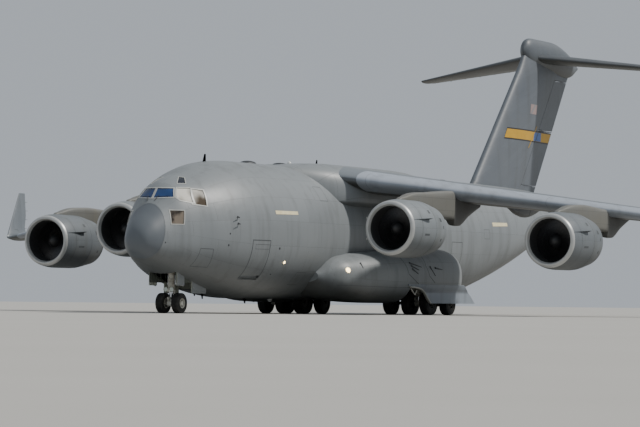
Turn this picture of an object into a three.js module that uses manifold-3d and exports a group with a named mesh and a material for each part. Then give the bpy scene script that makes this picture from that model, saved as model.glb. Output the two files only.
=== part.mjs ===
// A four-engined military transport plane on its wheels, as a 1:2 scale model.
// Lengths in this file are metres of the real aircraft: X to port, Y aft from a datum just
// behind the nose tip and Z up from the ground. place() turns them into the model's millimetres.
import * as THREE from 'three';
import { mergeVertices } from 'three/addons/utils/BufferGeometryUtils.js';
import Module from 'manifold-3d';

const wasm = await Module();
wasm.setup();

// Driving dimensions
const MIDDLE_Y = 25.92;
const MODEL_MM = 500;
const SEAM = 0.0007;
const RUNNING_GAP = 0.012;
const SIDES = [['port', 1], ['starboard', -1]];

// Fuselage
const HULL_RADIUS = 3.43;
const HULL_AXIS_Z = 4.21;
const WALL = 0.2;
const HULL_SEGMENTS = 24;
const RADOME_JOINT = { y: -0.15, z: 4.1, slope: 0.25 };
const DECK_BULKHEAD_Y = 6.9;
const FLIGHT_DECK_Z = 3.75;
const BARREL_JOINT_Y = 16.2;
const RAMP_HINGE_Y = 30.4;
const RAMP_END_Y = 36.4;
const CARGO_DOOR_END_Y = 42.0;
const FLOOR_Z = 1.63;
const CROWN_JOINT_Z = 5.75;
const HULL_END_Y = 48.5;

// Wing
const WING_TIP_X = 25.15;
const FLAP_FRACTION = 0.74;
const AILERON_FRACTION = 0.76;

// Wheels
const FACETS = 16;
const FLAT = Math.cos(Math.PI / FACETS);
const MAIN_TYRE_RADIUS = 0.635;
const MAIN_TYRE_WIDTH = 0.5;
const MAIN_WHEEL_X = [2.72, 3.8, 4.88];
const MAIN_ROWS = [['front', 21.18], ['rear', 23.64]];
const MAIN_AXLE_Z = MAIN_TYRE_RADIUS * FLAT;
const NOSE_TYRE_RADIUS = 0.508;
const NOSE_TYRE_WIDTH = 0.4;
const NOSE_WHEEL_X = 0.445;
const NOSE_GEAR_Y = 2.37;
const NOSE_AXLE_Z = NOSE_TYRE_RADIUS * FLAT;
const AXLE_RADIUS = 0.09;

// Paint and other surfaces: colour, roughness, metalness
const PAINT = [0x7c8488, 0.62, 0.1];
const DARK_PAINT = [0x60686d, 0.6, 0.1];
const BARE_METAL = [0xa9adb0, 0.35, 0.85];
const HOT_METAL = [0x5b554f, 0.5, 0.8];
const GLASS = [0x26333f, 0.08, 0.0];
const RUBBER = [0x17181a, 0.85, 0.0];
const LEG_WHITE = [0xc4c8c8, 0.45, 0.2];
const TRIM = [0x2e3135, 0.7, 0.1];

const plane = new THREE.Group();

// Turns a three.js geometry into a solid that can be cut and joined, its faces outwards.
function solid(geometry) {
  const bare = geometry.index ? geometry.toNonIndexed() : geometry.clone();
  bare.deleteAttribute('normal');
  bare.deleteAttribute('uv');
  const merged = mergeVertices(bare, 1e-5);
  const vertProperties = new Float32Array(merged.attributes.position.array);
  const triVerts = new Uint32Array(merged.index.array);
  const shape = new wasm.Manifold(new wasm.Mesh({ numProp: 3, vertProperties, triVerts }));
  if (shape.volume() > 0) {
    return shape;
  }
  return new wasm.Manifold(new wasm.Mesh({ numProp: 3, vertProperties, triVerts: triVerts.reverse() }));
}

// Adds a solid to the plane as a named mesh in the model's millimetres.
function place(name, shape, [color, roughness, metalness]) {
  const mesh = shape.getMesh();
  const points = new Float32Array(mesh.vertProperties.length);
  for (let i = 0; i < points.length; i += 3) {
    points[i] = mesh.vertProperties[i] * MODEL_MM;
    points[i + 1] = (mesh.vertProperties[i + 1] - MIDDLE_Y) * MODEL_MM;
    points[i + 2] = mesh.vertProperties[i + 2] * MODEL_MM;
  }
  const geometry = new THREE.BufferGeometry();
  geometry.setAttribute('position', new THREE.BufferAttribute(points, 3));
  geometry.setIndex(new THREE.BufferAttribute(new Uint32Array(mesh.triVerts), 1));
  const material = new THREE.MeshStandardMaterial({ color, roughness, metalness });
  const node = new THREE.Mesh(geometry, material);
  node.name = name;
  plane.add(node);
}

// A closed skin over rings of points, each ring a flat convex loop with as many points.
function loft(rings) {
  const count = rings[0].length;
  const points = rings.flat();
  const faces = [];
  for (let r = 0; r + 1 < rings.length; r += 1) {
    for (let i = 0; i < count; i += 1) {
      const a = r * count + i;
      const b = r * count + (i + 1) % count;
      faces.push(a, b, a + count, b, b + count, a + count);
    }
  }
  const last = (rings.length - 1) * count;
  for (let i = 1; i + 1 < count; i += 1) {
    faces.push(0, i + 1, i, last, last + i, last + i + 1);
  }
  const geometry = new THREE.BufferGeometry();
  geometry.setAttribute('position', new THREE.Float32BufferAttribute(points.flat(), 3));
  geometry.setIndex(faces);
  return solid(geometry);
}

function box(x0, x1, y0, y1, z0, z1) {
  const geometry = new THREE.BoxGeometry(x1 - x0, y1 - y0, z1 - z0);
  return solid(geometry.translate((x0 + x1) / 2, (y0 + y1) / 2, (z0 + z1) / 2));
}

// A round bar or cone from one point to another.
function bar(from, to, radius, endRadius = radius, segments = 10) {
  const a = new THREE.Vector3(...from);
  const b = new THREE.Vector3(...to);
  const along = b.clone().sub(a);
  const geometry = new THREE.CylinderGeometry(endRadius, radius, along.length(), segments);
  const turn = new THREE.Quaternion().setFromUnitVectors(
    new THREE.Vector3(0, 1, 0), along.clone().normalize());
  geometry.applyQuaternion(turn);
  const middle = a.add(b).multiplyScalar(0.5);
  return solid(geometry.translate(middle.x, middle.y, middle.z));
}

// An outline in plan, as X and Y pairs, carried straight up from z0 to z1.
function planPrism(outline, z0, z1) {
  const shape = new THREE.Shape(outline.map(([x, y]) => new THREE.Vector2(x, y)));
  const geometry = new THREE.ExtrudeGeometry(shape, { depth: z1 - z0, bevelEnabled: false });
  return solid(geometry.translate(0, 0, z0));
}

// An outline seen from the side, as Y and Z pairs, carried across from x0 to x1.
function sidePrism(outline, x0, x1) {
  const shape = new THREE.Shape(outline.map(([y, z]) => new THREE.Vector2(y, z)));
  const geometry = new THREE.ExtrudeGeometry(shape, { depth: x1 - x0, bevelEnabled: false });
  const turn = new THREE.Matrix4().makeBasis(
    new THREE.Vector3(0, 1, 0), new THREE.Vector3(0, 0, 1), new THREE.Vector3(1, 0, 0));
  geometry.applyMatrix4(turn);
  return solid(geometry.translate(x0, 0, 0));
}

// An outline seen from the front, as X and Z pairs, carried back from y0 to y1.
function frontPrism(outline, y0, y1) {
  const shape = new THREE.Shape(outline.map(([x, z]) => new THREE.Vector2(x, z)));
  const geometry = new THREE.ExtrudeGeometry(shape, { depth: y1 - y0, bevelEnabled: false });
  geometry.rotateX(Math.PI / 2);
  return solid(geometry.translate(0, y1, 0));
}

// A body of revolution about an axis along Y: its profile lists Y and radius.
function turned(profile, x, y, z, segments) {
  const points = profile.map(([along, radius]) => new THREE.Vector2(radius, along));
  const geometry = new THREE.LatheGeometry(points, segments);
  return solid(geometry.translate(x, y, z));
}

// The radius of a faceted hole in which a pin with as many facets can turn.
const holeRadius = (pinRadius, segments) => (pinRadius + SEAM) / Math.cos(Math.PI / segments);

// A lug of the moving piece on a pin of the fixed one. The stem leads from the lug to its piece.
const LUG_PIN_SHARE = 0.4;
const LUG_PIN_FACETS = 12;
function lugHinge(fixed, moving, point, axis, stem, radius, halfLength) {
  const along = (distance) => point.map((value, i) => value + axis[i] * distance);
  const room = halfLength + RUNNING_GAP;
  const lug = bar(along(-halfLength), along(halfLength), radius, undefined, 8)
    .add(bar(point, stem, radius * 0.5, undefined, 6));
  const pin = (size) => bar(along(-room - radius), along(room + radius), size, undefined, LUG_PIN_FACETS);
  const pinRadius = radius * LUG_PIN_SHARE;
  return [
    fixed.subtract(bar(along(-room), along(room), radius + RUNNING_GAP, undefined, 8)).add(pin(pinRadius)),
    moving.add(lug).subtract(pin(holeRadius(pinRadius, LUG_PIN_FACETS))),
  ];
}

const join = (shapes) => shapes.reduce((whole, shape) => whole.add(shape));
const mirror = (shape) => shape.mirror([1, 0, 0]);
const onSide = (shape, sign) => (sign > 0 ? shape : mirror(shape));

// Fuselage sections. Columns: Y, half width, top Z, Z of the widest place, bottom Z
const HULL_SECTIONS = [
  [-1.2, 0.16, 3.6, 3.45, 3.3],
  [-1.1, 0.44, 3.92, 3.46, 3.06],
  [-0.75, 0.79, 4.4, 3.5, 2.76],
  [-0.2, 1.12, 4.93, 3.54, 2.5],
  [0.44, 1.45, 5.56, 3.6, 2.28],
  [0.95, 1.73, 6.12, 3.66, 2.11],
  [1.7, 2.1, 6.5, 3.74, 1.88],
  [2.6, 2.57, 6.76, 3.87, 1.62],
  [3.6, 2.92, 7.12, 3.98, 1.36],
  [5.0, 3.25, 7.46, 4.11, 1.08],
  [8.0, HULL_RADIUS, 7.64, HULL_AXIS_Z, 0.78],
  [30.2, HULL_RADIUS, 7.64, HULL_AXIS_Z, 0.78],
  [32.6, HULL_RADIUS, 7.64, 4.35, 1.28],
  [36.0, 3.36, 7.63, 4.65, 2.13],
  [39.2, 3.1, 7.6, 5.0, 3.1],
  [42.0, 2.62, 7.56, 5.4, 4.0],
  [45.2, 1.86, 7.42, 5.95, 5.03],
  [47.4, 1.1, 7.1, 6.3, 5.72],
  [HULL_END_Y, 0.45, 6.72, 6.35, 6.0],
];
const UPPER_POWER = 2;
const LOWER_POWER = 2.35;

// One fuselage section: an ellipse above its widest place and a squarer curve below.
function hullRing([y, halfWidth, top, middle, bottom], inset) {
  const ring = [];
  for (let i = 0; i < HULL_SEGMENTS; i += 1) {
    const angle = (2 * Math.PI * (i + 0.5)) / HULL_SEGMENTS;
    const power = Math.cos(angle) > 0 ? UPPER_POWER : LOWER_POWER;
    const height = (Math.cos(angle) > 0 ? top - middle : middle - bottom) - inset;
    const across = Math.sign(Math.sin(angle)) * Math.abs(Math.sin(angle)) ** (2 / power);
    const up = Math.sign(Math.cos(angle)) * Math.abs(Math.cos(angle)) ** (2 / power);
    ring.push([(halfWidth - inset) * across, y, middle + height * up]);
  }
  return ring;
}

const hull = loft(HULL_SECTIONS.map((section) => hullRing(section, 0)));
const hullGrown = loft(HULL_SECTIONS.map((section) => hullRing(section, -SEAM)));
const CABIN_START = 3;
const CABIN_END = 17;
const cabin = loft(HULL_SECTIONS.slice(CABIN_START, CABIN_END).map((s) => hullRing(s, WALL)));
const FAR = 60;
const between = (y0, y1) => box(-FAR, FAR, y0, y1, -1, 20);

// Flight deck windows. Columns: name, outline of X and Z pairs seen from the front
const FRONT_WINDOWS = [
  ['front', [[0.05, 5.56], [0.95, 5.61], [0.76, 6.04], [0.05, 6.05]]],
  ['side', [[1.06, 5.6], [1.25, 5.46], [1.64, 5.36], [1.27, 6.07], [0.87, 6.06]]],
];
// Columns: name, outline of Y and Z pairs seen from the side, innermost X
const SIDE_WINDOWS = [
  ['rear', [[1.5, 5.3], [2.15, 5.22], [2.4, 5.98], [1.8, 6.04]], 1.2],
  ['chin', [[0.2, 4.3], [0.77, 4.3], [0.95, 4.95], [0.38, 4.95]], 0.6],
];
// Outline of X and Y pairs seen from above
const EYEBROW = [[0.72, 1.6], [0.98, 1.92], [0.67, 2.32], [0.45, 2.21]];
const WINDOW_BACK_Y = 1.9;
const WINDOW_OUTER_X = 3;

// The window openings, or the panes that fill them with the gap taken off all round.
function windows(part) {
  const shrink = (outline) => {
    const middle = [0, 1].map((k) => (
      outline.reduce((sum, point) => sum + point[k], 0) / outline.length));
    return outline.map((point) => point.map((value, k) => value + (middle[k] - value) * part));
  };
  const shapes = [];
  for (const sign of [1, -1]) {
    for (const [, outline] of FRONT_WINDOWS) {
      shapes.push(onSide(frontPrism(shrink(outline), -FAR, WINDOW_BACK_Y), sign));
    }
    for (const [, outline, innerX] of SIDE_WINDOWS) {
      shapes.push(onSide(sidePrism(shrink(outline), innerX, WINDOW_OUTER_X), sign));
    }
    shapes.push(onSide(planPrism(shrink(EYEBROW), 5.9, 7), sign));
  }
  return join(shapes);
}

const NOSE_BAY = [-0.72, 0.72, 1.5, 4.5, 0, 2.75];
const CREW_DOOR = { y0: 4.92, y1: 6.36, z0: 1.8, z1: 3.6, innerX: 0.95 };
const CREW_HINGE = [[2.319, CREW_DOOR.y0, 1.825], [2.485, CREW_DOOR.y1, 1.825]];
const CREW_HINGE_LENGTH = Math.hypot(CREW_HINGE[1][0] - CREW_HINGE[0][0], CREW_DOOR.y1 - CREW_DOOR.y0);
const CREW_PIN_RADIUS = 0.009;
const CREW_PIN_FACETS = 12;
// The door's ends are square to its hinge line, which runs outwards towards the tail.
const CREW_TURN = Math.atan2(CREW_HINGE[1][0] - CREW_HINGE[0][0], CREW_DOOR.y1 - CREW_DOOR.y0);
const crewBox = (innerX, g) => {
  const [x, y] = [0, 1].map((i) => (CREW_HINGE[0][i] + CREW_HINGE[1][i]) / 2);
  const half = CREW_HINGE_LENGTH / 2 + g;
  return box(innerX - x, 4 - x, -half, half, CREW_DOOR.z0 - g, CREW_DOOR.z1 + g)
    .rotate([0, 0, (-CREW_TURN * 180) / Math.PI]).translate([x, y, 0]);
};

const jointY = (z, back) => RADOME_JOINT.y + RADOME_JOINT.slope * (z - RADOME_JOINT.z) + back;
const aheadOfJoint = (back) => sidePrism([
  [-FAR, -1], [jointY(-1, back), -1], [jointY(20, back), 20], [-FAR, 20],
], -FAR, FAR);
const aboveDeck = box(-FAR, FAR, -1, DECK_BULKHEAD_Y - WALL, FLIGHT_DECK_Z, 20);
const noseCabin = cabin.intersect(aboveDeck).subtract(aheadOfJoint(WALL));
const entry = crewBox(CREW_DOOR.innerX, RUNNING_GAP);

place('radome', hull.intersect(aheadOfJoint(-SEAM)), PAINT);

const noseDoors = join([1, -1].map((sign) => onSide(join([
  box(0.74, 0.79, 3.0, 4.4, 0.98, 1.9),
  box(0.74, 0.79, 1.55, 2.25, 1.35, 2.4),
]), sign)));
const noseSection = hull.intersect(between(-FAR, DECK_BULKHEAD_Y - SEAM))
  .subtract(aheadOfJoint(0))
  .subtract(noseCabin)
  .subtract(box(...NOSE_BAY))
  .subtract(entry)
  .subtract(windows(0));
const crewPin = (size, grow) => join([-1, 1].map((end) => {
  const [a, b] = end < 0 ? CREW_HINGE : [...CREW_HINGE].reverse();
  const along = (distance) => a.map((value, i) => value + ((b[i] - value) * distance) / CREW_HINGE_LENGTH);
  return bar(along(-0.08), along(0.05 + grow), size, undefined, CREW_PIN_FACETS);
}));
place('nose_section', noseSection.add(noseDoors.subtract(box(...NOSE_BAY)))
  .add(crewPin(CREW_PIN_RADIUS, 0)), PAINT);

// The panes are joined by a clear lining inside the flight deck's skin.
const LINING = 0.035;
const PANE_TRIM = 0.008;
const LINING_BACK_Y = 2.55;
const nearNose = HULL_SECTIONS.slice(CABIN_START, 9);
const lining = loft(nearNose.map((s) => hullRing(s, WALL + SEAM)))
  .subtract(loft(nearNose.map((s) => hullRing(s, WALL + LINING))))
  .intersect(box(-FAR, FAR, -1, LINING_BACK_Y, FLIGHT_DECK_Z + SEAM, 20))
  .subtract(aheadOfJoint(WALL + SEAM));
const panes = windows(PANE_TRIM)
  .intersect(loft(nearNose.map((s) => hullRing(s, 0.02))))
  .subtract(loft(nearNose.map((s) => hullRing(s, WALL + LINING / 2))))
  .subtract(aheadOfJoint(WALL / 2));
place('flight_deck_glass', lining.add(panes), GLASS);

// Seats and instrument panel on the flight deck.
const DECK_TOP = FLIGHT_DECK_Z + SEAM;
const seats = [1, -1].map((sign) => onSide(join([
  box(0.5, 1.1, 2.0, 2.6, DECK_TOP + 0.05, 4.25),
  box(0.5, 1.1, 2.5, 2.7, DECK_TOP + 0.05, 5.05),
]), sign));
place('flight_deck_seats', join([
  box(-0.95, 0.95, 1.05, 1.4, DECK_TOP, 4.95),
  box(-0.25, 0.25, 1.3, 2.4, DECK_TOP, 4.4),
  box(-1.2, 1.2, 1.3, 3.4, DECK_TOP, DECK_TOP + 0.06),
  ...seats,
]).intersect(noseCabin), TRIM);

const doorSkin = hull.subtract(loft(HULL_SECTIONS.map((s) => hullRing(s, WALL))));
place('crew_door', doorSkin.intersect(crewBox(1.4, 0))
  .subtract(crewPin(holeRadius(CREW_PIN_RADIUS, CREW_PIN_FACETS), SEAM)), PAINT);

// Cargo barrel: floor with the belly under it, walls in two lengths a side, and crown.
const barrel = hull.intersect(between(DECK_BULKHEAD_Y, RAMP_HINGE_Y - SEAM));
const shell = barrel.subtract(cabin);
const slab = (z0, z1) => box(-FAR, FAR, 0, FAR, z0, z1);
const DECK = { halfWidth: 2.05, y0: 7.8, y1: 29.9, z: FLOOR_Z + 0.03 };
let floor = barrel.intersect(slab(-1, FLOOR_Z))
  .add(box(-DECK.halfWidth, DECK.halfWidth, DECK.y0, DECK.y1, FLOOR_Z - 0.05, DECK.z));
place('fuselage_crown', shell.intersect(slab(CROWN_JOINT_Z, 20)), PAINT);
const WALL_LENGTHS = [
  ['forward', DECK_BULKHEAD_Y, BARREL_JOINT_Y],
  ['aft', BARREL_JOINT_Y + SEAM, RAMP_HINGE_Y],
];
for (const [side, sign] of SIDES) {
  for (const [end, y0, y1] of WALL_LENGTHS) {
    const half = box(0, FAR, y0, y1, FLOOR_Z + SEAM, CROWN_JOINT_Z - SEAM);
    place(`${end}_wall_${side}`, shell.intersect(onSide(half, sign)), PAINT);
  }
}

// Tail: the ramp and the cargo door close the underside, and the rest is one section.
const RAMP_HALF_WIDTH = 2.4;
const CARGO_DOOR_HALF_WIDTH = 1.75;
const RAMP_TOP_Z = 2.95;
const DOOR_TOP_Z = 4.7;
const END_SLANT = 0.6;
const rampEndY = (z) => RAMP_END_Y - END_SLANT * (z - RAMP_TOP_Z);
const rampOutline = [
  [RAMP_HINGE_Y, -1], [rampEndY(-1), -1], [rampEndY(RAMP_TOP_Z), RAMP_TOP_Z], [RAMP_HINGE_Y, FLOOR_Z],
];
const DOOR_GAP = 3 * RUNNING_GAP;
const cargoDoorOutline = (g) => [
  [rampEndY(-1) + DOOR_GAP - g, -1], [CARGO_DOOR_END_Y + g, -1], [CARGO_DOOR_END_Y + g, DOOR_TOP_Z + g],
  [rampEndY(RAMP_TOP_Z) + DOOR_GAP - g, RAMP_TOP_Z + g],
];
const rampPrism = (g) => sidePrism(rampOutline, -RAMP_HALF_WIDTH - g, RAMP_HALF_WIDTH + g);
const cargoDoorPrism = (g) => sidePrism(cargoDoorOutline(g),
  -CARGO_DOOR_HALF_WIDTH - g, CARGO_DOOR_HALF_WIDTH + g);
const tail = hull.intersect(between(RAMP_HINGE_Y, HULL_END_Y));
const tailShell = tail.subtract(cabin);
const wideGap = 2 * RUNNING_GAP;
const tailOpening = join([
  box(-RAMP_HALF_WIDTH - wideGap, RAMP_HALF_WIDTH + wideGap,
    RAMP_HINGE_Y - 1, RAMP_END_Y + 0.3, -1, RAMP_TOP_Z + 0.15),
  cargoDoorPrism(wideGap),
  box(-CARGO_DOOR_HALF_WIDTH - wideGap, CARGO_DOOR_HALF_WIDTH + wideGap,
    RAMP_END_Y - 0.5, CARGO_DOOR_END_Y + wideGap, -1, RAMP_TOP_Z + 0.45),
]);
const RAMP_GAP = 0.07;
const RAMP_PIVOT = { x: 0.5, y: RAMP_HINGE_Y - 0.03, z: 0.87 };
const CARGO_DOOR_PIVOT = { x: 0.6, y: CARGO_DOOR_END_Y + 0.1, z: DOOR_TOP_Z + 0.03 };
const HINGE_LUG = { radius: 0.05, halfLength: 0.08 };
const ACROSS = [1, 0, 0];
let ramp = tail.intersect(rampPrism(0)).intersect(between(RAMP_HINGE_Y + RAMP_GAP, FAR));
let cargoDoor = hull.intersect(cargoDoorPrism(0)).intersect(join([tailShell, slab(-1, RAMP_TOP_Z + 0.05)]));
let tailSection = tailShell.subtract(tailOpening);
for (const sign of [1, -1]) {
  const rampPoint = [sign * RAMP_PIVOT.x, RAMP_PIVOT.y, RAMP_PIVOT.z];
  [floor, ramp] = lugHinge(floor, ramp, rampPoint, ACROSS,
    [rampPoint[0], RAMP_HINGE_Y + 2 * RAMP_GAP, RAMP_PIVOT.z + 0.04],
    HINGE_LUG.radius, HINGE_LUG.halfLength);
  const doorPoint = [sign * CARGO_DOOR_PIVOT.x, CARGO_DOOR_PIVOT.y, CARGO_DOOR_PIVOT.z];
  const bracket = box(doorPoint[0] - 0.2, doorPoint[0] + 0.2, CARGO_DOOR_PIVOT.y - 0.022,
    CARGO_DOOR_PIVOT.y + 0.2, DOOR_TOP_Z - 0.55, CARGO_DOOR_PIVOT.z + 0.08);
  const doorBlock = box(doorPoint[0] - 0.08, doorPoint[0] + 0.08, CARGO_DOOR_END_Y - 0.5,
    CARGO_DOOR_END_Y - 0.1, DOOR_TOP_Z - 0.7, CARGO_DOOR_PIVOT.z);
  [tailSection, cargoDoor] = lugHinge(tailSection.add(bracket), cargoDoor.add(doorBlock), doorPoint,
    ACROSS, [doorPoint[0], CARGO_DOOR_END_Y - 0.2, CARGO_DOOR_PIVOT.z - 0.03],
    HINGE_LUG.radius, HINGE_LUG.halfLength);
}
place('cargo_floor', floor, DARK_PAINT);
place('tail_section', tailSection, PAINT);
place('cargo_ramp', ramp, PAINT);
place('cargo_door', cargoDoor, PAINT);

// Wing. Thickness is a share of the chord at each place along it.
// Columns: place along the chord, half thickness over the full thickness
const AIRFOIL = [
  [0, 0], [0.012, 0.16], [0.05, 0.3], [0.14, 0.44], [0.32, 0.5], [0.52, 0.42], [0.76, 0.2], [1, 0.012],
];
// Columns: X, front Y, Z, chord, depth, fall of the section from front to back
const WING_SECTIONS = [
  [2.3, 14.18, 7.15, 10.11, 1.29, 0.275],
  [WING_TIP_X, 26.77, 4.27, 3.24, 0.36, 0],
];
const wingAt = (x) => {
  const [root, tip] = WING_SECTIONS;
  const k = (x - root[0]) / (tip[0] - root[0]);
  const [, front, z, chord, depth, fall] = root.map((value, i) => value + (tip[i] - value) * k);
  return { front, z, chord, depth, fall };
};
const wingPlace = (x, f) => wingAt(x).front + f * wingAt(x).chord;

// A section of the wing, its points taken round from the lower back over the front.
function foilRing(frontY, z, chord, depth, drop, at, grow = 0) {
  const lower = AIRFOIL.slice(1).reverse();
  const walk = [...lower.map(([f, t]) => [f, -t]), ...AIRFOIL];
  return walk.map(([f, t]) => at(
    frontY + f * chord + grow * (f > 0.5 ? 1 : f === 0 ? -1 : 0),
    z - f * drop + t * depth + grow * Math.sign(t),
  ));
}
const wingRing = ([x, front, z, chord, depth, fall], grow) => foilRing(
  front, z, chord, depth, fall, (y, height) => [x, y, height], grow);
const wingSolid = (grow) => loft(WING_SECTIONS.map((section) => wingRing(section, grow)));
const foilHalf = (f) => {
  const index = AIRFOIL.findIndex(([place]) => place >= f);
  const [[f0, t0], [f1, t1]] = [AIRFOIL[index - 1], AIRFOIL[index]];
  return t0 + ((t1 - t0) * (f - f0)) / (f1 - f0);
};
const wingUnder = (x, f) => wingAt(x).z - f * wingAt(x).fall - foilHalf(f) * wingAt(x).depth;

// Winglet sections. Columns: X, front Y, Z, chord, depth, lean of the section outwards
const WINGLET_SECTIONS = [
  [25.15, 26.77, 4.27, 3.24, 0.36, 0],
  [25.5, 26.95, 4.25, 2.9, 0.28, 0.3],
  [25.52, 27.2, 4.5, 2.1, 0.22, 1],
  [25.87, 28.85, 6.97, 0.66, 0.07, 1],
];
const winglet = loft(WINGLET_SECTIONS.map(([x, y, z, chord, depth, lean]) => foilRing(
  y, 0, chord, depth, 0, (py, pz) => [x - pz * lean, py, z + pz * (1 - lean * 0.75)])));

// Flaps and ailerons. Columns: name, inner X, outer X
const FLAPS = [
  ['flap_inboard', 4.55, 10.1],
  ['flap_outboard', 10.18, 17.6],
];
const AILERON = ['aileron', 17.95, 23.9];
// Hinge fairings under each flap: X
const FLAP_FAIRING_X = [5.6, 9.3, 11.3, 16.3];
const FAIRING_DROP = 0.64;
// Columns: place along the chord, half width, drop under the wing
const FAIRING_SECTIONS = [
  [0.5, 0.05, 0.05],
  [0.58, 0.2, 0.42],
  [FLAP_FRACTION, 0.24, FAIRING_DROP],
  [0.9, 0.2, 0.5],
  [1.06, 0.05, 0.12],
];
const fairingSolid = (x) => loft(FAIRING_SECTIONS.map(([f, halfWidth, drop]) => {
  const y = wingPlace(x, f);
  const under = wingUnder(x, Math.min(f, 0.99));
  const top = under + (f < 0.9 ? 0.12 : 0.02);
  return [
    [x - halfWidth, y, top], [x - halfWidth, y, under - drop * 0.6],
    [x - halfWidth * 0.4, y, under - drop], [x + halfWidth * 0.4, y, under - drop],
    [x + halfWidth, y, under - drop * 0.6], [x + halfWidth, y, top],
  ];
}));

// The space behind a hinge line, its ends square to the line and trimmed by a gap.
function behind(from, to, trim, ahead) {
  const start = new THREE.Vector3(...from);
  const along = new THREE.Vector3(...to).sub(start);
  const length = along.length();
  along.normalize();
  const aft = new THREE.Vector3(0, 1, 0).addScaledVector(along, -along.y).normalize();
  const up = along.clone().cross(aft);
  const geometry = new THREE.BoxGeometry(length - 2 * trim, FAR + ahead, 5);
  geometry.translate(length / 2, (FAR - ahead) / 2, 0);
  geometry.applyMatrix4(new THREE.Matrix4().makeBasis(along, aft, up));
  return solid(geometry.translate(...from));
}
const FLAP_GAP = 0.05;
const FLAP_PIVOT = { forward: 0.07, above: 0.03 };
const FLAP_LUG = { radius: 0.045, halfLength: 0.03 };
const flapFront = (x) => [x, wingPlace(x, FLAP_FRACTION), wingUnder(x, FLAP_FRACTION)];
const flapPivot = (x) => [x, wingPlace(x, FLAP_FRACTION) - FLAP_PIVOT.forward,
  wingUnder(x, FLAP_FRACTION) - FAIRING_DROP + FLAP_PIVOT.above];
const flapAxis = new THREE.Vector3(...flapPivot(17)).sub(new THREE.Vector3(...flapPivot(5)))
  .normalize().toArray();
const wingPlain = wingSolid(0).add(winglet);
const flapped = join([wingPlain, ...FLAP_FAIRING_X.map(fairingSolid)]);
let wing = flapped;
const wingMoving = [];
for (const [name, x0, x1] of FLAPS) {
  wing = wing.subtract(behind(flapFront(x0), flapFront(x1), -FLAP_GAP / 2, FLAP_GAP));
  let flap = flapped.intersect(behind(flapFront(x0), flapFront(x1), 0, 0));
  for (const x of FLAP_FAIRING_X.filter((place) => place > x0 && place < x1)) {
    const point = flapPivot(x);
    const stem = [x, point[1] + FLAP_PIVOT.forward + 0.06, point[2] + 0.03];
    [wing, flap] = lugHinge(wing, flap, point, flapAxis, stem, FLAP_LUG.radius, FLAP_LUG.halfLength);
  }
  wingMoving.push([name, flap]);
}

// A surface hinged inside a thicker one: a round nose on the hinge line, its cove, and
// a pin at each end of the hinge line.
const NOSE_INSET = 0.008;
const PIN_SHARE = 0.017;
const PIN_RADIUS = 0.03;
const PIN_FACETS = 12;
function hinged(whole, from, to, fromRadius, toRadius, back, backGrown, reach = 0) {
  const part = (share) => from.map((value, i) => value + (to[i] - value) * share);
  const radius = (share) => fromRadius + (toRadius - fromRadius) * share;
  const cove = bar(from, part(1 + reach), fromRadius + RUNNING_GAP,
    radius(1 + reach) + RUNNING_GAP, 14);
  const nose = bar(part(NOSE_INSET), part(1 - NOSE_INSET), radius(NOSE_INSET), radius(1 - NOSE_INSET), 14);
  const pin = (size, grow) => join([
    bar(part(-PIN_SHARE), part(PIN_SHARE + grow), size, undefined, PIN_FACETS),
    bar(part(1 - PIN_SHARE - grow), part(1 + PIN_SHARE + reach), size, undefined, PIN_FACETS),
  ]);
  return {
    fixed: whole.subtract(cove).subtract(backGrown).add(pin(PIN_RADIUS, 0)),
    moving: whole.intersect(back).add(whole.intersect(nose))
      .subtract(pin(holeRadius(PIN_RADIUS, PIN_FACETS), SEAM)),
  };
}
const aileronHinge = (x) => [x, wingPlace(x, AILERON_FRACTION),
  wingAt(x).z - AILERON_FRACTION * wingAt(x).fall];
const aileronRadius = (x) => foilHalf(AILERON_FRACTION) * wingAt(x).depth;
const END_GAP = 0.03;
const squareEnds = (hinge, x0, x1) => [
  behind(hinge(x0), hinge(x1), END_GAP, 0), behind(hinge(x0), hinge(x1), 0, 0),
];
const [aileronName, aileronX0, aileronX1] = AILERON;
const aileronCut = hinged(wing, aileronHinge(aileronX0), aileronHinge(aileronX1),
  aileronRadius(aileronX0), aileronRadius(aileronX1),
  ...squareEnds(aileronHinge, aileronX0, aileronX1));
wing = aileronCut.fixed;
wingMoving.push([aileronName, aileronCut.moving]);

// Fairing over the wing's middle. Columns: Y, half width, top Z
const FAIRING_TOP = [
  [12.2, 1.2, 7.6], [13.6, 2.6, 7.76], [16.2, 3.55, 7.86], [22.5, 3.55, 7.84],
  [26.3, 2.5, 7.72], [28.5, 1.1, 7.6],
];
const FAIRING_FOOT_Z = 5.9;
const FAIRING_STEPS = 10;
const wingFairing = (grow) => loft(FAIRING_TOP.map(([y, halfWidth, top]) => {
  const ring = [];
  for (let i = 0; i <= FAIRING_STEPS; i += 1) {
    const angle = (Math.PI * i) / FAIRING_STEPS;
    const across = Math.sign(Math.cos(angle)) * Math.abs(Math.cos(angle)) ** 0.6;
    const up = Math.abs(Math.sin(angle)) ** 0.6;
    ring.push([(halfWidth + grow) * across, y, FAIRING_FOOT_Z + (top + grow - FAIRING_FOOT_Z) * up]);
  }
  return ring;
}));
place('wing_fairing', wingFairing(0).subtract(hullGrown), PAINT);
const fairingGrown = wingFairing(SEAM);
for (const [side, sign] of SIDES) {
  place(`wing_${side}`, onSide(wing, sign).subtract(fairingGrown).subtract(hullGrown), PAINT);
  for (const [name, shape] of wingMoving) {
    place(`${name}_${side}`, onSide(shape, sign), name === 'aileron' ? PAINT : DARK_PAINT);
  }
}

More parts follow.
